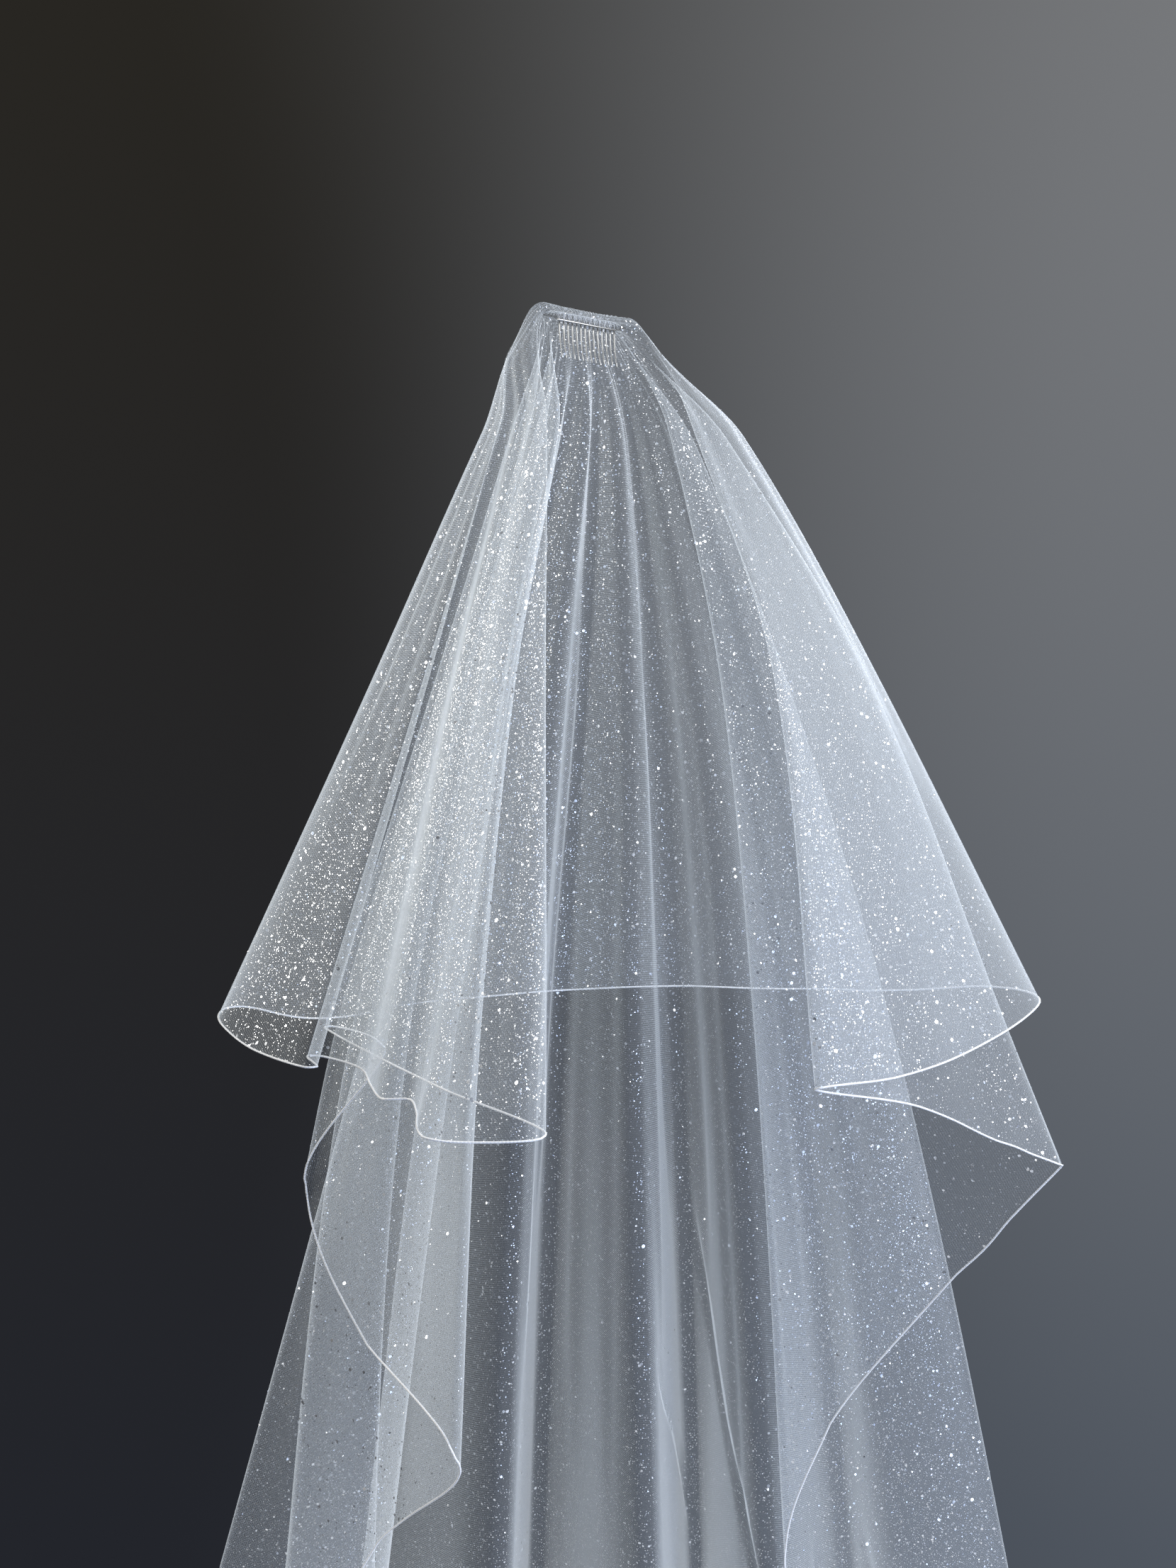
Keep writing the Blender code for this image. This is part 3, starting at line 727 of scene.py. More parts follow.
    def fold_round(self, before: np.ndarray, fold: np.ndarray, after: np.ndarray, sign: float,
                   point: np.ndarray, fade: float) -> np.ndarray:
        """Sideways shift that opens a tight fold into a round bend of a few millimetres.

        Args:
            before: Plan points of the line before the fold.
            fold: Plan points of the fold.
            after: Plan points of the line after the fold.
            sign: Which way the cloth turns there.
            point: The plan points to shift.
            fade: Share of the shift that is kept.

        Returns:
            The shift of each point.
        """
        arm_in, arm_out = fold - before, after - fold
        turn = np.sum(unit(arm_in) * unit(arm_out), axis=-1, keepdims=True)
        tight = np.clip((0.3 - turn) / 0.8, 0.0, 1.0)
        bisector = unit(unit(arm_in) - unit(arm_out))
        side = np.stack([-bisector[:, 1], bisector[:, 0]], axis=-1) * sign
        arm = np.minimum(np.linalg.norm(arm_in, axis=-1), np.linalg.norm(arm_out, axis=-1))
        radius = np.minimum(self.fold_radius, self.fold_share * arm)[:, None]
        away = np.linalg.norm(point - fold, axis=-1, keepdims=True)
        return side * radius * tight * np.sqrt(np.minimum(1.0, away / radius)) * fade

    @staticmethod
    def turn_sign(index: int) -> float:
        """Which way the cloth turns at a fold, seen from above at shoulder depth."""
        before, fold, after = (np.array(FOLDS[(index + k) % len(FOLDS)].shoulder, float)
                               for k in (-1, 0, 1))
        a, b = fold - before, after - fold
        return math.copysign(1.0, a[0] * b[1] - a[1] * b[0])

    def sample(self) -> np.ndarray:
        """Read the surface as [column, row, xyz], closed round the columns."""
        rows = np.linspace(0.0, 1.0, self.row_count) ** self.row_power
        count = len(FOLDS)
        columns = []
        self.starts, self.counts = [], []
        for i, fold in enumerate(FOLDS):
            near = [FOLDS[(i + k) % count] for k in (-1, 0, 1, 2)]
            edges = [np.array(f.edge, float) for f in near]
            signs = self.turn_sign(i), self.turn_sign((i + 1) % count)
            gap = np.linalg.norm(edges[2] - edges[1])
            steps = 6 * max(1, round(gap / (6.0 * self.column_pitch)))
            self.starts.append(len(columns))
            self.counts.append(steps)
            for step in range(steps):
                share = step / steps
                share = 0.5 * share + 0.25 * (1.0 - math.cos(math.pi * share))
                depths = -through(*edges, share)[2] * rows
                lines = [self.fold_plan(f, depths) for f in near]
                plan = through(*lines, share)
                plan = plan + self.fold_round(*lines[:3], signs[0], plan, (1.0 - share) ** 1.5)
                plan = plan - self.fold_round(*lines[1:], signs[1], plan, share ** 1.5)
                side = fold.side + (near[2].side - fold.side) * share
                lift = min(max((side + 1.0) / 1.2, 0.0), 1.0)
                arch = self.arch_height * depths / self.arch_depth
                arch = arch * np.exp(1.0 - depths / self.arch_depth)
                columns.append(np.column_stack([plan, -depths + lift * (arch + self.arch_start)]))
        return np.array(columns)

    @staticmethod
    def find_normals(grid: np.ndarray) -> np.ndarray:
        """Unit normals of the closed grid at its points."""
        down = unit(np.gradient(grid, axis=1))
        ahead = np.roll(grid, -1, 0) - grid
        behind = grid - np.roll(grid, 1, 0)
        ahead = unit(ahead - down * np.sum(ahead * down, axis=-1, keepdims=True))
        behind = unit(behind - down * np.sum(behind * down, axis=-1, keepdims=True))
        return unit(np.cross(ahead + behind, down))

    def shape_hem(self) -> None:
        """Lift the hem between its points, and draw it straight into its corners."""
        drop = np.linalg.norm(np.diff(self.grid, axis=1), axis=-1)
        left = np.hstack([np.cumsum(drop[:, ::-1], axis=1)[:, ::-1], np.zeros((len(drop), 1))])
        for name in HEM_CORNERS:
            tip = int(self.column(Place(name, 0.0)))
            index = [f.name for f in FOLDS].index(name)
            for far in (self.starts[index - 1], self.starts[(index + 1) % len(FOLDS)]):
                ids = np.linspace(tip, far, abs(far - tip) + 1).round().astype(int)
                hem = self.grid[ids, -1]
                run = np.concatenate([[0.0], np.cumsum(np.linalg.norm(np.diff(hem, axis=0),
                                                                      axis=-1))])
                share = (run / run[-1])[:, None]
                straight = hem[0] + (hem[-1] - hem[0]) * share
                hold = 1.0 - smooth_step((share - self.corner_hold) / (1.0 - self.corner_hold))
                near = np.exp(-left[ids] / CORNER_REACH)[..., None]
                self.grid[ids] += ((straight - hem) * hold)[:, None] * near
        for scallop in SCALLOPS:
            first, last = (int(self.column(Place(f, 0.0))) for f in (scallop.first, scallop.last))
            share = np.arange(last - first + 1) / (last - first)
            lift = scallop.lift * np.sin(math.pi * share)[:, None]
            near = np.exp(-left[first:last + 1] / scallop.reach)
            self.grid[first:last + 1, :, 2] += lift * near

    def column(self, place: Place) -> float:
        """Column number, with its fraction, of a place on the cloth."""
        index = [f.name for f in FOLDS].index(place.fold)
        return self.starts[index] + self.counts[index] * place.share

    def relief(self) -> np.ndarray:
        """Small form laid on the folds: gathers at the comb, soft swells and creases."""
        total, rows = self.grid.shape[:2]
        step = np.linalg.norm(np.roll(self.grid, -1, 0) - self.grid, axis=-1)
        across = np.vstack([np.zeros((1, rows)), np.cumsum(step, axis=0)[:-1]])
        drop = np.linalg.norm(np.diff(self.grid, axis=1), axis=-1)
        depth = np.hstack([np.zeros((total, 1)), np.cumsum(drop, axis=1)])
        chance = np.random.default_rng(self.seed)
        # gathers: uneven pleats that fade out below the comb
        reading = np.argmin(np.abs(depth.mean(0) - self.gather_depth))
        phase = across[:, reading] / self.gather_pitch
        turn = 2.0 * math.pi * phase
        wobble = sum(a * np.sin(turn * f + p) for a, f, p in self.gather_wobble)
        pleat = np.sin(turn + wobble) * (0.65 + 0.35 * np.sin(turn * 0.17 + 0.7))
        fade = np.exp(-depth / self.gather_fade) * (1.0 - np.exp(-depth / self.gather_start))
        relief = self.gather_rise * pleat[:, None] * fade
        # swells: long low waves in the open cloth, which leave the folds straight
        folds = across[self.starts]
        away = np.min([np.abs(across - line) for line in folds], axis=0)
        open_cloth = smooth_step((away - self.swell_clear) / self.swell_ramp)
        width = across[:, np.argmin(np.abs(depth.mean(0) - self.shoulder))][:, None]
        for _ in range(self.swell_count):
            wave = chance.uniform(1 / self.swell_long, 1 / self.swell_short)
            fall = chance.uniform(-1 / self.swell_drift, 1 / self.swell_drift)
            start = chance.uniform(0.0, 2.0 * math.pi)
            share = np.sin(2.0 * math.pi * (width * wave + depth * fall) + start)
            relief = relief + self.swell_rise / 3.0 * share * open_cloth
        for crease in CREASES + flute_creases(self.seed):
            relief = relief + self.crease_relief(crease, across, depth)
        return relief

    def crease_relief(self, crease: Crease, across: np.ndarray, depth: np.ndarray) -> np.ndarray:
        """Height of one crease over the whole cloth.

        Args:
            crease: The crease.
            across: Distance round the cloth at each point.
            depth: Distance down the cloth at each point.

        Returns:
            The height at each point.
        """
        head = self.column(Place(crease.fold, crease.head))
        foot = self.column(Place(crease.foot_fold or crease.fold, crease.foot))
        middle = int(round((head + foot) / 2.0)) % len(depth)
        share = np.clip((depth[middle] - crease.top) / (crease.end - crease.top), 0.0, 1.0)
        line = head + (foot - head) * share
        columns = np.arange(len(depth))
        centre = np.array([np.interp(line[r], columns, across[:, r])
                           for r in range(depth.shape[1])])
        ends = (crease.end - crease.top) / 4.0
        window = smooth_step((depth - crease.top) / ends)
        window = window * smooth_step((crease.end - depth) / ends)
        return crease.rise * np.exp(-((across - centre) / crease.width) ** 2) * window

    def unroll(self) -> np.ndarray:
        """Flat cut coordinates in metres: the cloth rolled out round the gathers."""
        drop = np.linalg.norm(np.diff(self.grid, axis=1), axis=-1)
        radius = np.hstack([np.zeros((len(drop), 1)), np.cumsum(drop, axis=1)])
        down = unit(np.gradient(self.grid, axis=1))
        ahead = np.roll(self.grid, -1, 0) - self.grid
        ahead = ahead - down * np.sum(ahead * down, axis=-1, keepdims=True)
        step = np.linalg.norm(ahead, axis=-1)
        mean = (radius + np.roll(radius, -1, 0)) / 2.0
        lower = slice(self.row_count // 3, None)
        turn = (step[:, lower] * mean[:, lower]).sum(1) / (mean[:, lower] ** 2).sum(1)
        angle = np.concatenate([[0.0], np.cumsum(turn)[:-1]])[:, None]
        return np.stack([radius * np.cos(angle), radius * np.sin(angle)], axis=-1) * MM


def link_mesh(name: str, points: np.ndarray, faces: Sequence[Sequence[int]],
              material: bpy.types.Material) -> bpy.types.Object:
    """Smooth mesh object from points in millimetres.

    Args:
        name: The object's name.
        points: One row of x, y and z for each point.
        faces: Point numbers of each face.
        material: The finish.

    Returns:
        The linked object.
    """
    mesh = bpy.data.meshes.new(name)
    mesh.from_pydata((points * MM).tolist(), [], faces)
    mesh.shade_smooth()
    mesh.materials.append(material)
    obj = bpy.data.objects.new(name, mesh)
    bpy.context.scene.collection.objects.link(obj)
    return obj


def declare(piece: bpy.types.Object, node: str = "") -> None:
    """Let a piece ride on the body, and hide the CAD node that it stands for.

    Args:
        piece: The piece.
        node: The node that it replaces, if any.
    """
    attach(piece, BODY)
    if node:
        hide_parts(node)


def set_uv(obj: bpy.types.Object, name: str, uv: np.ndarray) -> None:
    """Give a mesh a UV map from one coordinate pair for each point.

    Args:
        obj: The mesh object.
        name: The map's name.
        uv: One row of u and v for each point.
    """
    mesh = obj.data
    layer = mesh.uv_layers.new(name=name)
    corner = np.zeros(len(mesh.loops), np.int32)
    mesh.loops.foreach_get("vertex_index", corner)
    layer.data.foreach_set("uv", uv[corner].astype(np.float32).ravel())


def grid_faces(columns: int, rows: int) -> list[list[int]]:
    """Four-sided faces over an open grid of points, with point number column * rows + row."""
    c, r = np.meshgrid(np.arange(columns - 1), np.arange(rows - 1), indexing="ij")
    a = (c * rows + r).ravel()
    b = a + rows
    return np.stack([a, a + 1, b + 1, b], axis=1).tolist()


@dataclass
class TulleStretch:
    """One stretch of the tulle, with the larger glitter flakes that are fused to it."""

    node: str
    first: Place
    last: Place
    medium_per_m2: float = 10000.0
    large_per_m2: float = 1700.0
    medium_radius: tuple[float, float] = (0.42, 0.95)
    large_radius: tuple[float, float] = (0.9, 1.9)
    flake_corners: int = 8
    flake_lift: float = 0.25
    flake_lean: float = 0.22
    seed: int = 1

    def ids(self, drape: Drape) -> np.ndarray:
        """Numbers of the columns of this stretch."""
        total = len(drape.grid)
        first, last = (int(round(drape.column(p))) for p in (self.first, self.last))
        return (first + np.arange((last - first) % total + 1)) % total

    def build(self, drape: Drape, tulle: bpy.types.Material,
              flake: bpy.types.Material) -> list[bpy.types.Object]:
        """Build the cloth and its flakes.

        Args:
            drape: The whole cloth.
            tulle: The cloth's finish.
            flake: The flakes' finish.

        Returns:
            The cloth and the flakes.
        """
        ids = self.ids(drape)
        grid, cut = drape.grid[ids], self.laid_flat(drape, ids)
        columns, rows = grid.shape[:2]
        cloth = link_mesh(self.node + "_tulle", grid.reshape(-1, 3), grid_faces(columns, rows),
                          tulle)
        set_uv(cloth, "cut", cut.reshape(-1, 2) / CUT_SPAN + 0.5)
        declare(cloth, self.node)
        flakes = self.flakes(grid, drape.normals[ids], self.density(drape, ids), flake)
        return [cloth, flakes]

    @staticmethod
    def density(drape: Drape, ids: np.ndarray) -> np.ndarray:
        """Density of the flakes at each column, as a share of the usual, with the painted glint of
        the bands.
        """
        density = np.ones(len(drape.grid))
        for band in GLINT_BANDS:
            first, last = (int(drape.column(p)) for p in (band.first, band.last))
            density[first:last] = band.density
        return density[ids]

    @staticmethod
    def laid_flat(drape: Drape, ids: np.ndarray) -> np.ndarray:
        """Flat cut of this stretch, carried past the seam of the unrolled circle."""
        cut = drape.cut[ids].copy()
        wrap = np.nonzero(np.diff(ids) < 0)[0]
        if len(wrap) == 0:
            return cut
        edge, start = drape.cut[-1, -1], drape.cut[0, -1]
        # the columns before the seam turn back by the small angle left open there
        turn = math.atan2(start[1], start[0]) - math.atan2(edge[1], edge[0])
        c, s = math.cos(turn), math.sin(turn)
        head = cut[:wrap[0] + 1]
        cut[:wrap[0] + 1] = np.stack([head[..., 0] * c - head[..., 1] * s,
                                      head[..., 0] * s + head[..., 1] * c], axis=-1)
        return cut

    @staticmethod
    def area(cut: np.ndarray) -> float:
        """Flat area of the cut in square metres."""
        a, b = cut[1:, 1:] - cut[:-1, :-1], cut[:-1, 1:] - cut[1:, :-1]
        return float(abs(0.5 * (a[..., 0] * b[..., 1] - a[..., 1] * b[..., 0])).sum())

    def flakes(self, grid: np.ndarray, normals: np.ndarray, density: np.ndarray,
               material: bpy.types.Material) -> bpy.types.Object:
        """Scatter flat flakes of uneven outline over the cloth's outer face.

        Args:
            grid: Points of the stretch in millimetres.
            normals: Unit normals at the points.
            density: Share of the usual density at each column.
            material: The flakes' finish.

        Returns:
            One mesh of all the flakes.
        """
        chance = np.random.default_rng(self.seed)
        a, b = grid[1:, :-1] - grid[:-1, :-1], grid[:-1, 1:] - grid[:-1, :-1]
        area = np.linalg.norm(np.cross(a, b), axis=-1) * density[:-1, None]
        square_metres = area.sum() * MM ** 2
        medium = int(self.medium_per_m2 * square_metres)
        large = int(self.large_per_m2 * square_metres)
        least = np.repeat([self.medium_radius[0], self.large_radius[0]], [medium, large])
        most = np.repeat([self.medium_radius[1], self.large_radius[1]], [medium, large])
        radius = least + (most - least) * chance.random(medium + large) ** 2
        count = len(radius)
        cell = chance.choice(area.size, count, p=(area / area.sum()).ravel())
        c, r = np.divmod(cell, area.shape[1])
        u, v = chance.random((2, count, 1))
        place = ((1 - u) * (1 - v) * grid[c, r] + u * (1 - v) * grid[c + 1, r]
                 + (1 - u) * v * grid[c, r + 1] + u * v * grid[c + 1, r + 1])
        face = unit(normals[c, r] + chance.normal(0.0, self.flake_lean, (count, 3)))
        side = unit(np.cross(face, unit(chance.normal(size=(count, 3)))))
        rise = np.cross(face, side)
        angle = np.linspace(0.0, 2.0 * math.pi, self.flake_corners, endpoint=False)
        reach = radius[:, None] * chance.uniform(0.84, 1.10, (count, self.flake_corners))
        ring = (side[:, None] * (np.cos(angle) * reach)[..., None]
                + rise[:, None] * (np.sin(angle) * reach)[..., None])
        points = place[:, None] + normals[c, r][:, None] * self.flake_lift + ring
        faces = np.arange(count * self.flake_corners).reshape(count, -1).tolist()
        flakes = link_mesh(self.node + "_glitter", points.reshape(-1, 3), faces, material)
        declare(flakes)
        LOG.info("%s: %d flakes", flakes.name, count)
        return flakes


@dataclass
class CordedEdge:
    """Fine cord sewn into the rolled edge all round the cloth."""

    radius: float = 0.95
    sides: int = 8

    def build(self, drape: Drape, cord: bpy.types.Material) -> bpy.types.Object:
        """Run the cord round the hem.

        Args:
            drape: The whole cloth.
            cord: The cord's finish.

        Returns:
            The cord.
        """
        edge = drape.grid[:, -1]
        run = unit(unit(np.roll(edge, -1, 0) - edge) + unit(edge - np.roll(edge, 1, 0)))
        down = edge - drape.grid[:, -2]
        down = unit(down - run * np.sum(down * run, axis=-1, keepdims=True))
        side = np.cross(run, down)
        line = edge + down * self.radius * 0.5
        angle = 2.0 * math.pi * np.arange(self.sides) / self.sides
        ring = (down[:, None] * np.cos(angle)[None, :, None]
                + side[:, None] * np.sin(angle)[None, :, None]) * self.radius
        points = line[:, None] + ring
        closed = np.concatenate([points, points[:1]])
        count = len(closed)
        a = (np.arange(count - 1)[:, None] * self.sides + np.arange(self.sides)).ravel()
        b = (np.arange(count - 1)[:, None] * self.sides
             + (np.arange(self.sides) + 1) % self.sides).ravel()
        wrap = len(points) * self.sides
        faces = np.stack([a, b, (b + self.sides) % wrap, (a + self.sides) % wrap], axis=1)
        cord_obj = link_mesh("corded_edge", points.reshape(-1, 3), faces.tolist(), cord)
        length = np.concatenate([[0.0], np.cumsum(
            np.linalg.norm(np.roll(line, -1, 0) - line, axis=-1))]) * MM
        self.run_uv(cord_obj, length)
        declare(cord_obj, "hem_cord")
        LOG.info("corded_edge: %.2f m", length[-1])
        return cord_obj

    def run_uv(self, obj: bpy.types.Object, length: np.ndarray) -> None:
        """UV map along and round the cord: u in metres of run, v in turns.

        Args:
            obj: The cord.
            length: Run to each ring, with the whole length last.
        """
        rings = len(length) - 1
        layer = obj.data.uv_layers.new(name="run")
        ring = np.repeat(np.arange(rings), self.sides)
        k = np.tile(np.arange(self.sides), rings)
        u = np.stack([length[ring], length[ring], length[ring + 1], length[ring + 1]], axis=1)
        v = np.stack([k, k + 1, k + 1, k], axis=1) / self.sides
        layer.data.foreach_set("uv", np.stack([u, v], axis=-1).astype(np.float32).ravel())


def pick_none() -> None:
    """Leave edit mode and deselect every object."""
    if bpy.context.object and bpy.context.object.mode != "OBJECT":
        bpy.ops.object.mode_set(mode="OBJECT")
    bpy.ops.object.select_all(action="DESELECT")


def settle(obj: bpy.types.Object) -> bpy.types.Object:
    """Put an object's place, turn and size into its mesh."""
    obj.data.transform(obj.matrix_world)
    obj.matrix_world = Matrix.Identity(4)
    return obj


def copies(model: bpy.types.Object,
           places: Sequence[Matrix]) -> list[bpy.types.Object]:
    """Settled copies of a model, each with its own mesh, in place of the model.

    Args:
        model: The object to copy, which is then removed.
        places: Place and turn of each copy.

    Returns:
        The copies.
    """
    made = []
    for place in places:
        copy = model.copy()
        copy.data = model.data.copy()
        bpy.context.scene.collection.objects.link(copy)
        copy.matrix_world = place
        made.append(settle(copy))
    bpy.data.objects.remove(model, do_unlink=True)
    return made


def joined(name: str, objs: Sequence[bpy.types.Object],
           material: bpy.types.Material) -> bpy.types.Object:
    """Join settled objects into one smooth piece.

    Args:
        name: The joined object's name.
        objs: The objects.
        material: The finish.

    Returns:
        The joined object.
    """
    pick_none()
    for obj in objs:
        obj.select_set(True)
    bpy.context.view_layer.objects.active = objs[0]
    bpy.ops.object.join()
    objs[0].name = name
    objs[0].data.name = name
    objs[0].data.materials.clear()
    objs[0].data.materials.append(material)
    objs[0].data.shade_smooth()
    return objs[0]


def place_on_line(along: float, out: float, z: float) -> Vector:
    """Point in metres from its place along, across and above the gathered line."""
    plan = ALONG * along + OUT * out
    return Vector((plan[0], plan[1], z)) * MM


LINE_TURN = Matrix.Rotation(math.atan2(ALONG[1], ALONG[0]), 4, "Z")


@dataclass
class WireComb:
    """Plated wire comb: a round spine and slim teeth that curve in towards the head."""

    half: float = 35.0
    teeth: int = 14
    tooth_length: float = 38.0
    tooth_radius: float = 0.8
    spine_radius: float = 1.1
    spine_drop: float = 2.6
    set_back: float = -3.6
    end_gap: float = 2.0
    curve: float = 5.0
    levels: int = 7

    def tooth(self) -> bpy.types.Object:
        """Model one tooth by drawing a ring down and in, with a rounded tip."""
        pick_none()
        bpy.ops.mesh.primitive_circle_add(vertices=10, radius=self.tooth_radius * MM,
                                          fill_type="NGON", location=(0, 0, 0))
        obj = bpy.context.object
        bpy.ops.object.mode_set(mode="EDIT")
        bpy.ops.mesh.select_all(action="SELECT")
        for level in range(1, self.levels + 1):
            before, now = (level - 1) / self.levels, level / self.levels
            lean = -self.curve * (now ** 2 - before ** 2)
            drop = -self.tooth_length / self.levels
            bpy.ops.mesh.extrude_region_move(
                TRANSFORM_OT_translate={"value": (0, lean * MM, drop * MM)})
            bpy.ops.transform.resize(value=(0.95, 0.95, 1.0))
        for shrink, drop in ((0.75, 0.25), (0.4, 0.2)):
            bpy.ops.mesh.extrude_region_move(
                TRANSFORM_OT_translate={"value": (0, 0, -drop * MM)})
            bpy.ops.transform.resize(value=(shrink, shrink, 1.0))
        bpy.ops.mesh.select_all(action="SELECT")
        bpy.ops.mesh.normals_make_consistent(inside=False)
        bpy.ops.object.mode_set(mode="OBJECT")
        return obj

    def spine(self) -> bpy.types.Object:
        """Model the spine: a long rod with softened ends."""
        pick_none()
        bpy.ops.mesh.primitive_cylinder_add(
            vertices=16, radius=self.spine_radius * MM, depth=2.0 * self.half * MM,
            location=(0, 0, 0), rotation=(0, math.pi / 2, 0))
        obj = bpy.context.object
        bevel = obj.modifiers.new("soft ends", "BEVEL")
        bevel.width = self.spine_radius * 0.5 * MM
        bevel.segments = 3
        bpy.ops.object.modifier_apply(modifier=bevel.name)
        return obj

    def build(self, wire: bpy.types.Material) -> bpy.types.Object:
        """Build the comb.

        Args:
            wire: The wire's finish.

        Returns:
            The comb.
        """
        middle = place_on_line(0.0, self.set_back, -self.spine_drop)
        spine = self.spine()
        spine.matrix_world = Matrix.Translation(middle) @ LINE_TURN @ spine.matrix_world
        settle(spine)
        reach = self.half - self.end_gap
        feet = [place_on_line(along, self.set_back, -self.spine_drop)
                for along in (-reach + 2.0 * reach * k / (self.teeth - 1)
                              for k in range(self.teeth))]
        teeth = copies(self.tooth(), [Matrix.Translation(foot) @ LINE_TURN for foot in feet])
        comb = joined("wire_comb", [spine, *teeth], wire)
        declare(comb, "comb")
        LOG.info("wire_comb: %d teeth", self.teeth)
        return comb


@dataclass
class GatheredHeading:
    """Bunched fold of tulle over the comb, and the thread that sews it on."""

    half: float = 45.0
    pleats: int = 26
    wide: float = 3.8
    high: float = 4.6
    base: float = 1.8
    ruffle: float = 0.7
    per_pleat: int = 14
    rows: int = 17
    stitch_pitch: float = 3.0
    stitch_margin: float = 12.0
    # across and above the gathered line
    stitch_middle: tuple[float, float] = (-1.6, 1.0)
    stitch_radius: float = 4.4
    leans: tuple[float, float] = (-9.0, 12.0)
    thread_radius: float = 0.22

    def build(self, tulle: bpy.types.Material,
              thread: bpy.types.Material) -> list[bpy.types.Object]:
        """Build the heading and its stitches.

        Args:
            tulle: The cloth's finish.
            thread: The thread's finish.

        Returns:
            The heading and the stitches.
        """
        columns = self.pleats * self.per_pleat + 1
        along = np.linspace(-self.half, self.half, columns)[:, None]
        angle = np.linspace(0.08, 0.92, self.rows)[None, :] * math.pi
        turn = math.pi * self.pleats * (along / self.half)
        end = np.sqrt(np.maximum(1.0 - (along / (self.half + 1.5)) ** 8, 0.0))
        wave = np.sin(turn + 0.6 * np.sin(turn * 0.13)) * self.ruffle
        tuck = np.cos(turn) * 0.5 * self.ruffle
        reach_out = (self.wide + wave) * end
        reach_up = (self.high + wave * 0.8) * end
        slide = along + tuck * np.sin(angle * 2.0)
        out = 0.4 - reach_out * np.cos(angle)
        z = self.base + reach_up * np.sin(angle) ** 0.8
        plan = slide[..., None] * ALONG + out[..., None] * OUT
        points = np.concatenate([plan, z[..., None]], axis=-1)
        heading = link_mesh("heading_gathers", points.reshape(-1, 3),
                            grid_faces(columns, self.rows), tulle)
        step = np.linalg.norm(np.diff(points, axis=0), axis=-1).mean(1)
        width = np.concatenate([[0.0], np.cumsum(step)])[:, None] * MM
        rise = np.linspace(0.0, 1.0, self.rows)[None, :] * self.wide * math.pi * MM
        uv = np.stack(np.broadcast_arrays(width, rise), axis=-1)
        set_uv(heading, "cut", uv.reshape(-1, 2) / CUT_SPAN + 0.5)
        declare(heading, "gathered_heading")
        stitches = self.stitches(thread)
        return [heading, stitches]

    def stitches(self, thread: bpy.types.Material) -> bpy.types.Object:
        """Loops of thread that bind the heading to the comb's spine."""
        pick_none()
        bpy.ops.mesh.primitive_torus_add(
            major_segments=20, minor_segments=6, major_radius=self.stitch_radius * MM,
            minor_radius=self.thread_radius * MM, location=(0, 0, 0),
            rotation=(0, math.pi / 2, 0))
        model = bpy.context.object
        count = int(2.0 * (self.half - self.stitch_margin) / self.stitch_pitch)
        squeeze = Matrix.Diagonal((1.0, 0.85, 1.1, 1.0))
        places = []
        for k in range(count):
            along = -self.half + self.stitch_margin + self.stitch_pitch * (k + 0.5)
            lean = Matrix.Rotation(math.radians(self.leans[k % 2]), 4, "Z")
            places.append(Matrix.Translation(place_on_line(along, *self.stitch_middle))
                          @ LINE_TURN @ lean @ squeeze @ model.matrix_world)
        loops = copies(model, places)
        stitches = joined("comb_stitches", loops, thread)
        declare(stitches)
        LOG.info("comb_stitches: %d loops", count)
        return stitches


class Light(NamedTuple):
    """A square soft light: its place and side in metres, watts and sRGB colour."""

    name: str
    place: tuple[float, float, float]
    size: float
    watts: float
    colour: str


LIGHTS = (
    Light("left light", (-2.4, -0.1, 0.45), 1.1, 50.0, "#FFFDF8"),
    Light("right light", (2.2, -1.3, 0.5), 1.3, 84.0, "#FAFCFF"),
    Light("front light", (0.3, -2.8, 0.7), 0.7, 10.0, "#FFFFFF"),
    Light("back light", (0.9, 2.3, 0.7), 1.6, 42.0, "#E8EFFF"),
    Light("low light", (1.3, -1.5, -1.4), 0.7, 20.0, "#B6CCF9"),
)


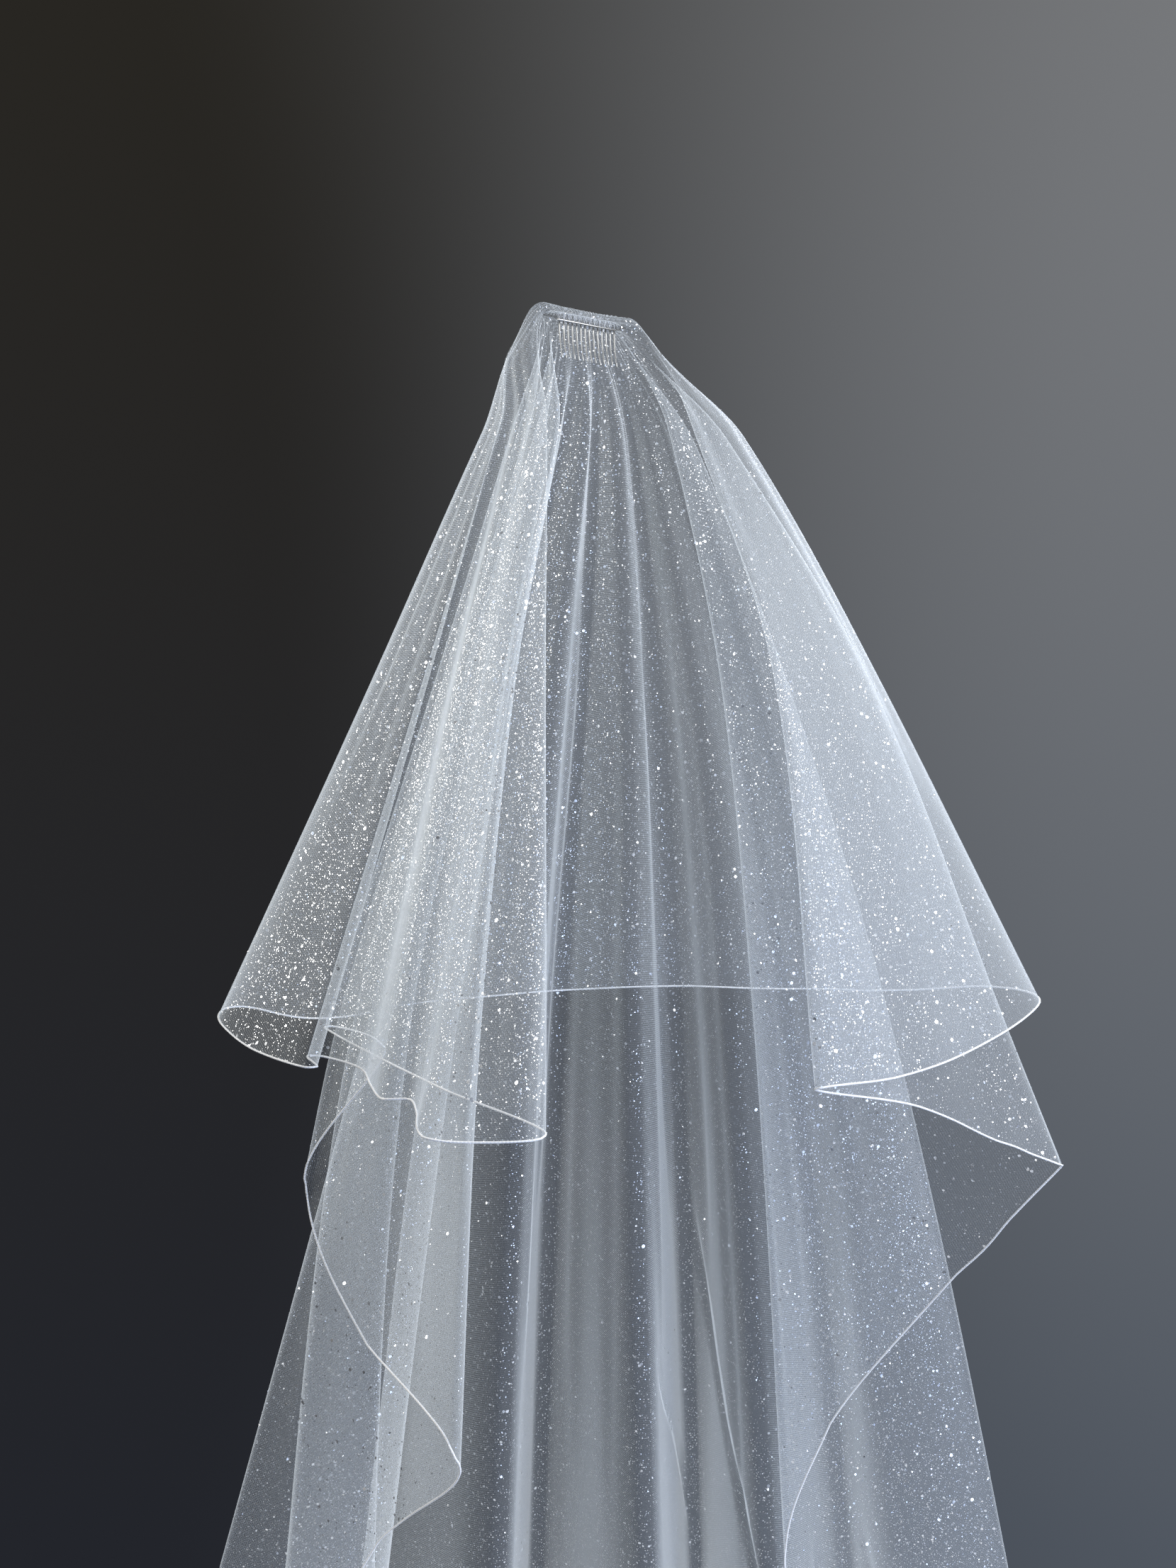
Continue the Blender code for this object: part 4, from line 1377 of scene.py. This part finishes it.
@dataclass
class Studio:
    """Plain pale floor, soft lights, a grey surround and the camera."""

    image: tuple[int, int] = (1659, 2212)
    focal_pixels: float = 2300.0
    camera_place: tuple[float, float, float] = (0.003, -1.62, -0.458)
    sensor: float = 36.0
    floor_level: float = -1.700
    floor_radius: float = 0.84
    aim: tuple[float, float, float] = (0.0, 0.1, -0.8)
    floor_tones: tuple[str, str] = ("#CFCFCE", "#D6D6D5")
    # tones of the surround, left and right, and where it changes across and upwards
    low_tones: tuple[str, str] = ("#23252B", "#545B65")
    high_tones: tuple[str, str] = ("#282622", "#7C7E81")
    across_range: tuple[float, float] = (-0.19, 0.34)
    up_range: tuple[float, float] = (-0.41, 0.41)

    def light(self, light: Light) -> None:
        """Add a light aimed at the veil, which the camera doesn't see."""
        data = bpy.data.lights.new(light.name, "AREA")
        data.size = light.size
        data.energy = light.watts
        data.color = linear(light.colour)[:3]
        lamp = bpy.data.objects.new(light.name, data)
        lamp.location = light.place
        way = Vector(self.aim) - Vector(light.place)
        lamp.rotation_euler = way.to_track_quat("-Z", "Y").to_euler()
        lamp.visible_camera = False
        bpy.context.scene.collection.objects.link(lamp)

    def surround(self) -> None:
        """Grey surround: darker on the left, and cooler and darker towards the floor."""
        world = bpy.data.worlds.new("surround")
        bpy.context.scene.world = world
        world.use_nodes = True
        tree = world.node_tree
        tree.nodes.clear()
        direction = add_node(tree, "TexCoord")
        parts = add_node(tree, "SeparateXYZ", {0: direction.outputs["Generated"]})
        # x times y squared: dark to light over the front and back, mid grey to the sides
        square = add_node(tree, "Math", {0: parts.outputs[1], 1: parts.outputs[1]},
                          operation="MULTIPLY")
        slant = add_node(tree, "Math", {0: parts.outputs[0], 1: square}, operation="MULTIPLY")
        across = add_node(tree, "MapRange",
                          {"Value": slant, "From Min": self.across_range[0],
                           "From Max": self.across_range[1]},
                          interpolation_type="SMOOTHSTEP")
        up = add_node(tree, "MapRange",
                      {"Value": parts.outputs[2], "From Min": self.up_range[0],
                       "From Max": self.up_range[1]})
        low, high = (two_tone(tree, across.outputs[0], *tones)
                     for tones in (self.low_tones, self.high_tones))
        colour = add_node(tree, "Mix", {"Factor": up, "A": low, "B": high},
                          data_type="RGBA")
        sky = add_node(tree, "Background", {"Color": colour.outputs["Result"],
                                            "Strength": 1.0})
        add_node(tree, "OutputWorld", {"Surface": sky})

    def floor(self) -> None:
        """Plain pale round floor just under the hem."""
        pick_none()
        bpy.ops.mesh.primitive_circle_add(vertices=128, radius=self.floor_radius,
                                          fill_type="NGON",
                                          location=(0.0, 0.1, self.floor_level))
        floor = bpy.context.object
        floor.name = "floor"
        settle(floor)
        material, tree = new_material("pale_floor")
        # matt paper, with a faint unevenness of about a centimetre
        place = add_node(tree, "TexCoord")
        cloud = add_node(tree, "TexNoise", {"Vector": place.outputs["Object"],
                                           "Scale": 60.0})
        colour = two_tone(tree, cloud.outputs["Fac"], *self.floor_tones)
        shader = add_node(tree, "BsdfPrincipled",
                          {"Base Color": colour, "Roughness": 0.8})
        add_node(tree, "OutputMaterial", {"Surface": shader})
        floor.data.materials.append(material)

    def camera(self) -> None:
        """Camera level with the chest, looking straight to the back."""
        data = bpy.data.cameras.new("camera")
        data.sensor_fit = "VERTICAL"
        data.sensor_height = self.sensor
        data.lens = self.focal_pixels / self.image[1] * self.sensor
        camera = bpy.data.objects.new("camera", data)
        camera.location = self.camera_place
        camera.rotation_euler = (math.pi / 2, 0.0, 0.0)
        bpy.context.scene.collection.objects.link(camera)
        bpy.context.scene.camera = camera

    def build(self) -> None:
        """Set up the stage."""
        self.surround()
        self.floor()
        self.camera()
        for light in LIGHTS:
            self.light(light)
        bpy.context.scene.view_settings.view_transform = "Standard"


def main() -> None:
    """Build the veil and its stage."""
    logging.basicConfig(level=logging.INFO, format="%(name)s: %(message)s")
    Studio().build()
    tulle = GlitterTulle().material()
    # the floor-length cloth gets a copy of the same tulle whose net closes up less at each turn,
    # with a little more base cover: painted shade on the lower tier
    shaded_tulle = GlitterTulle("glitter_tulle_shaded", cover=0.076, edge_power=-1.1).material()
    flake = GlitterFlake().material()
    cord = TwistedCord().material()
    drape = Drape()
    stretches = (
        TulleStretch("upper_tier", Place("right cascade swell", 1 / 3),
                     Place("left front fold", 1 / 3), seed=11),
        TulleStretch("left_cascade", Place("left front fold", 1 / 3),
                     Place("left floor fold", 0.5), seed=12),
        TulleStretch("lower_tier", Place("left floor fold", 0.5),
                     Place("right floor fold", 0.5), medium_per_m2=12000.0,
                     large_per_m2=2000.0, flake_corners=6, seed=13),
        TulleStretch("right_cascade", Place("right floor fold", 0.5),
                     Place("right cascade swell", 1 / 3), seed=14),
    )
    for stretch in stretches:
        stretch.build(drape, shaded_tulle if stretch.node == "lower_tier" else tulle, flake)
    CordedEdge().build(drape, cord)
    GatheredHeading().build(tulle, SewingThread().material())
    WireComb().build(PlatedWire().material())
    LOG.info("cloth: %d columns", len(drape.grid))


if __name__ == "__main__":
    main()
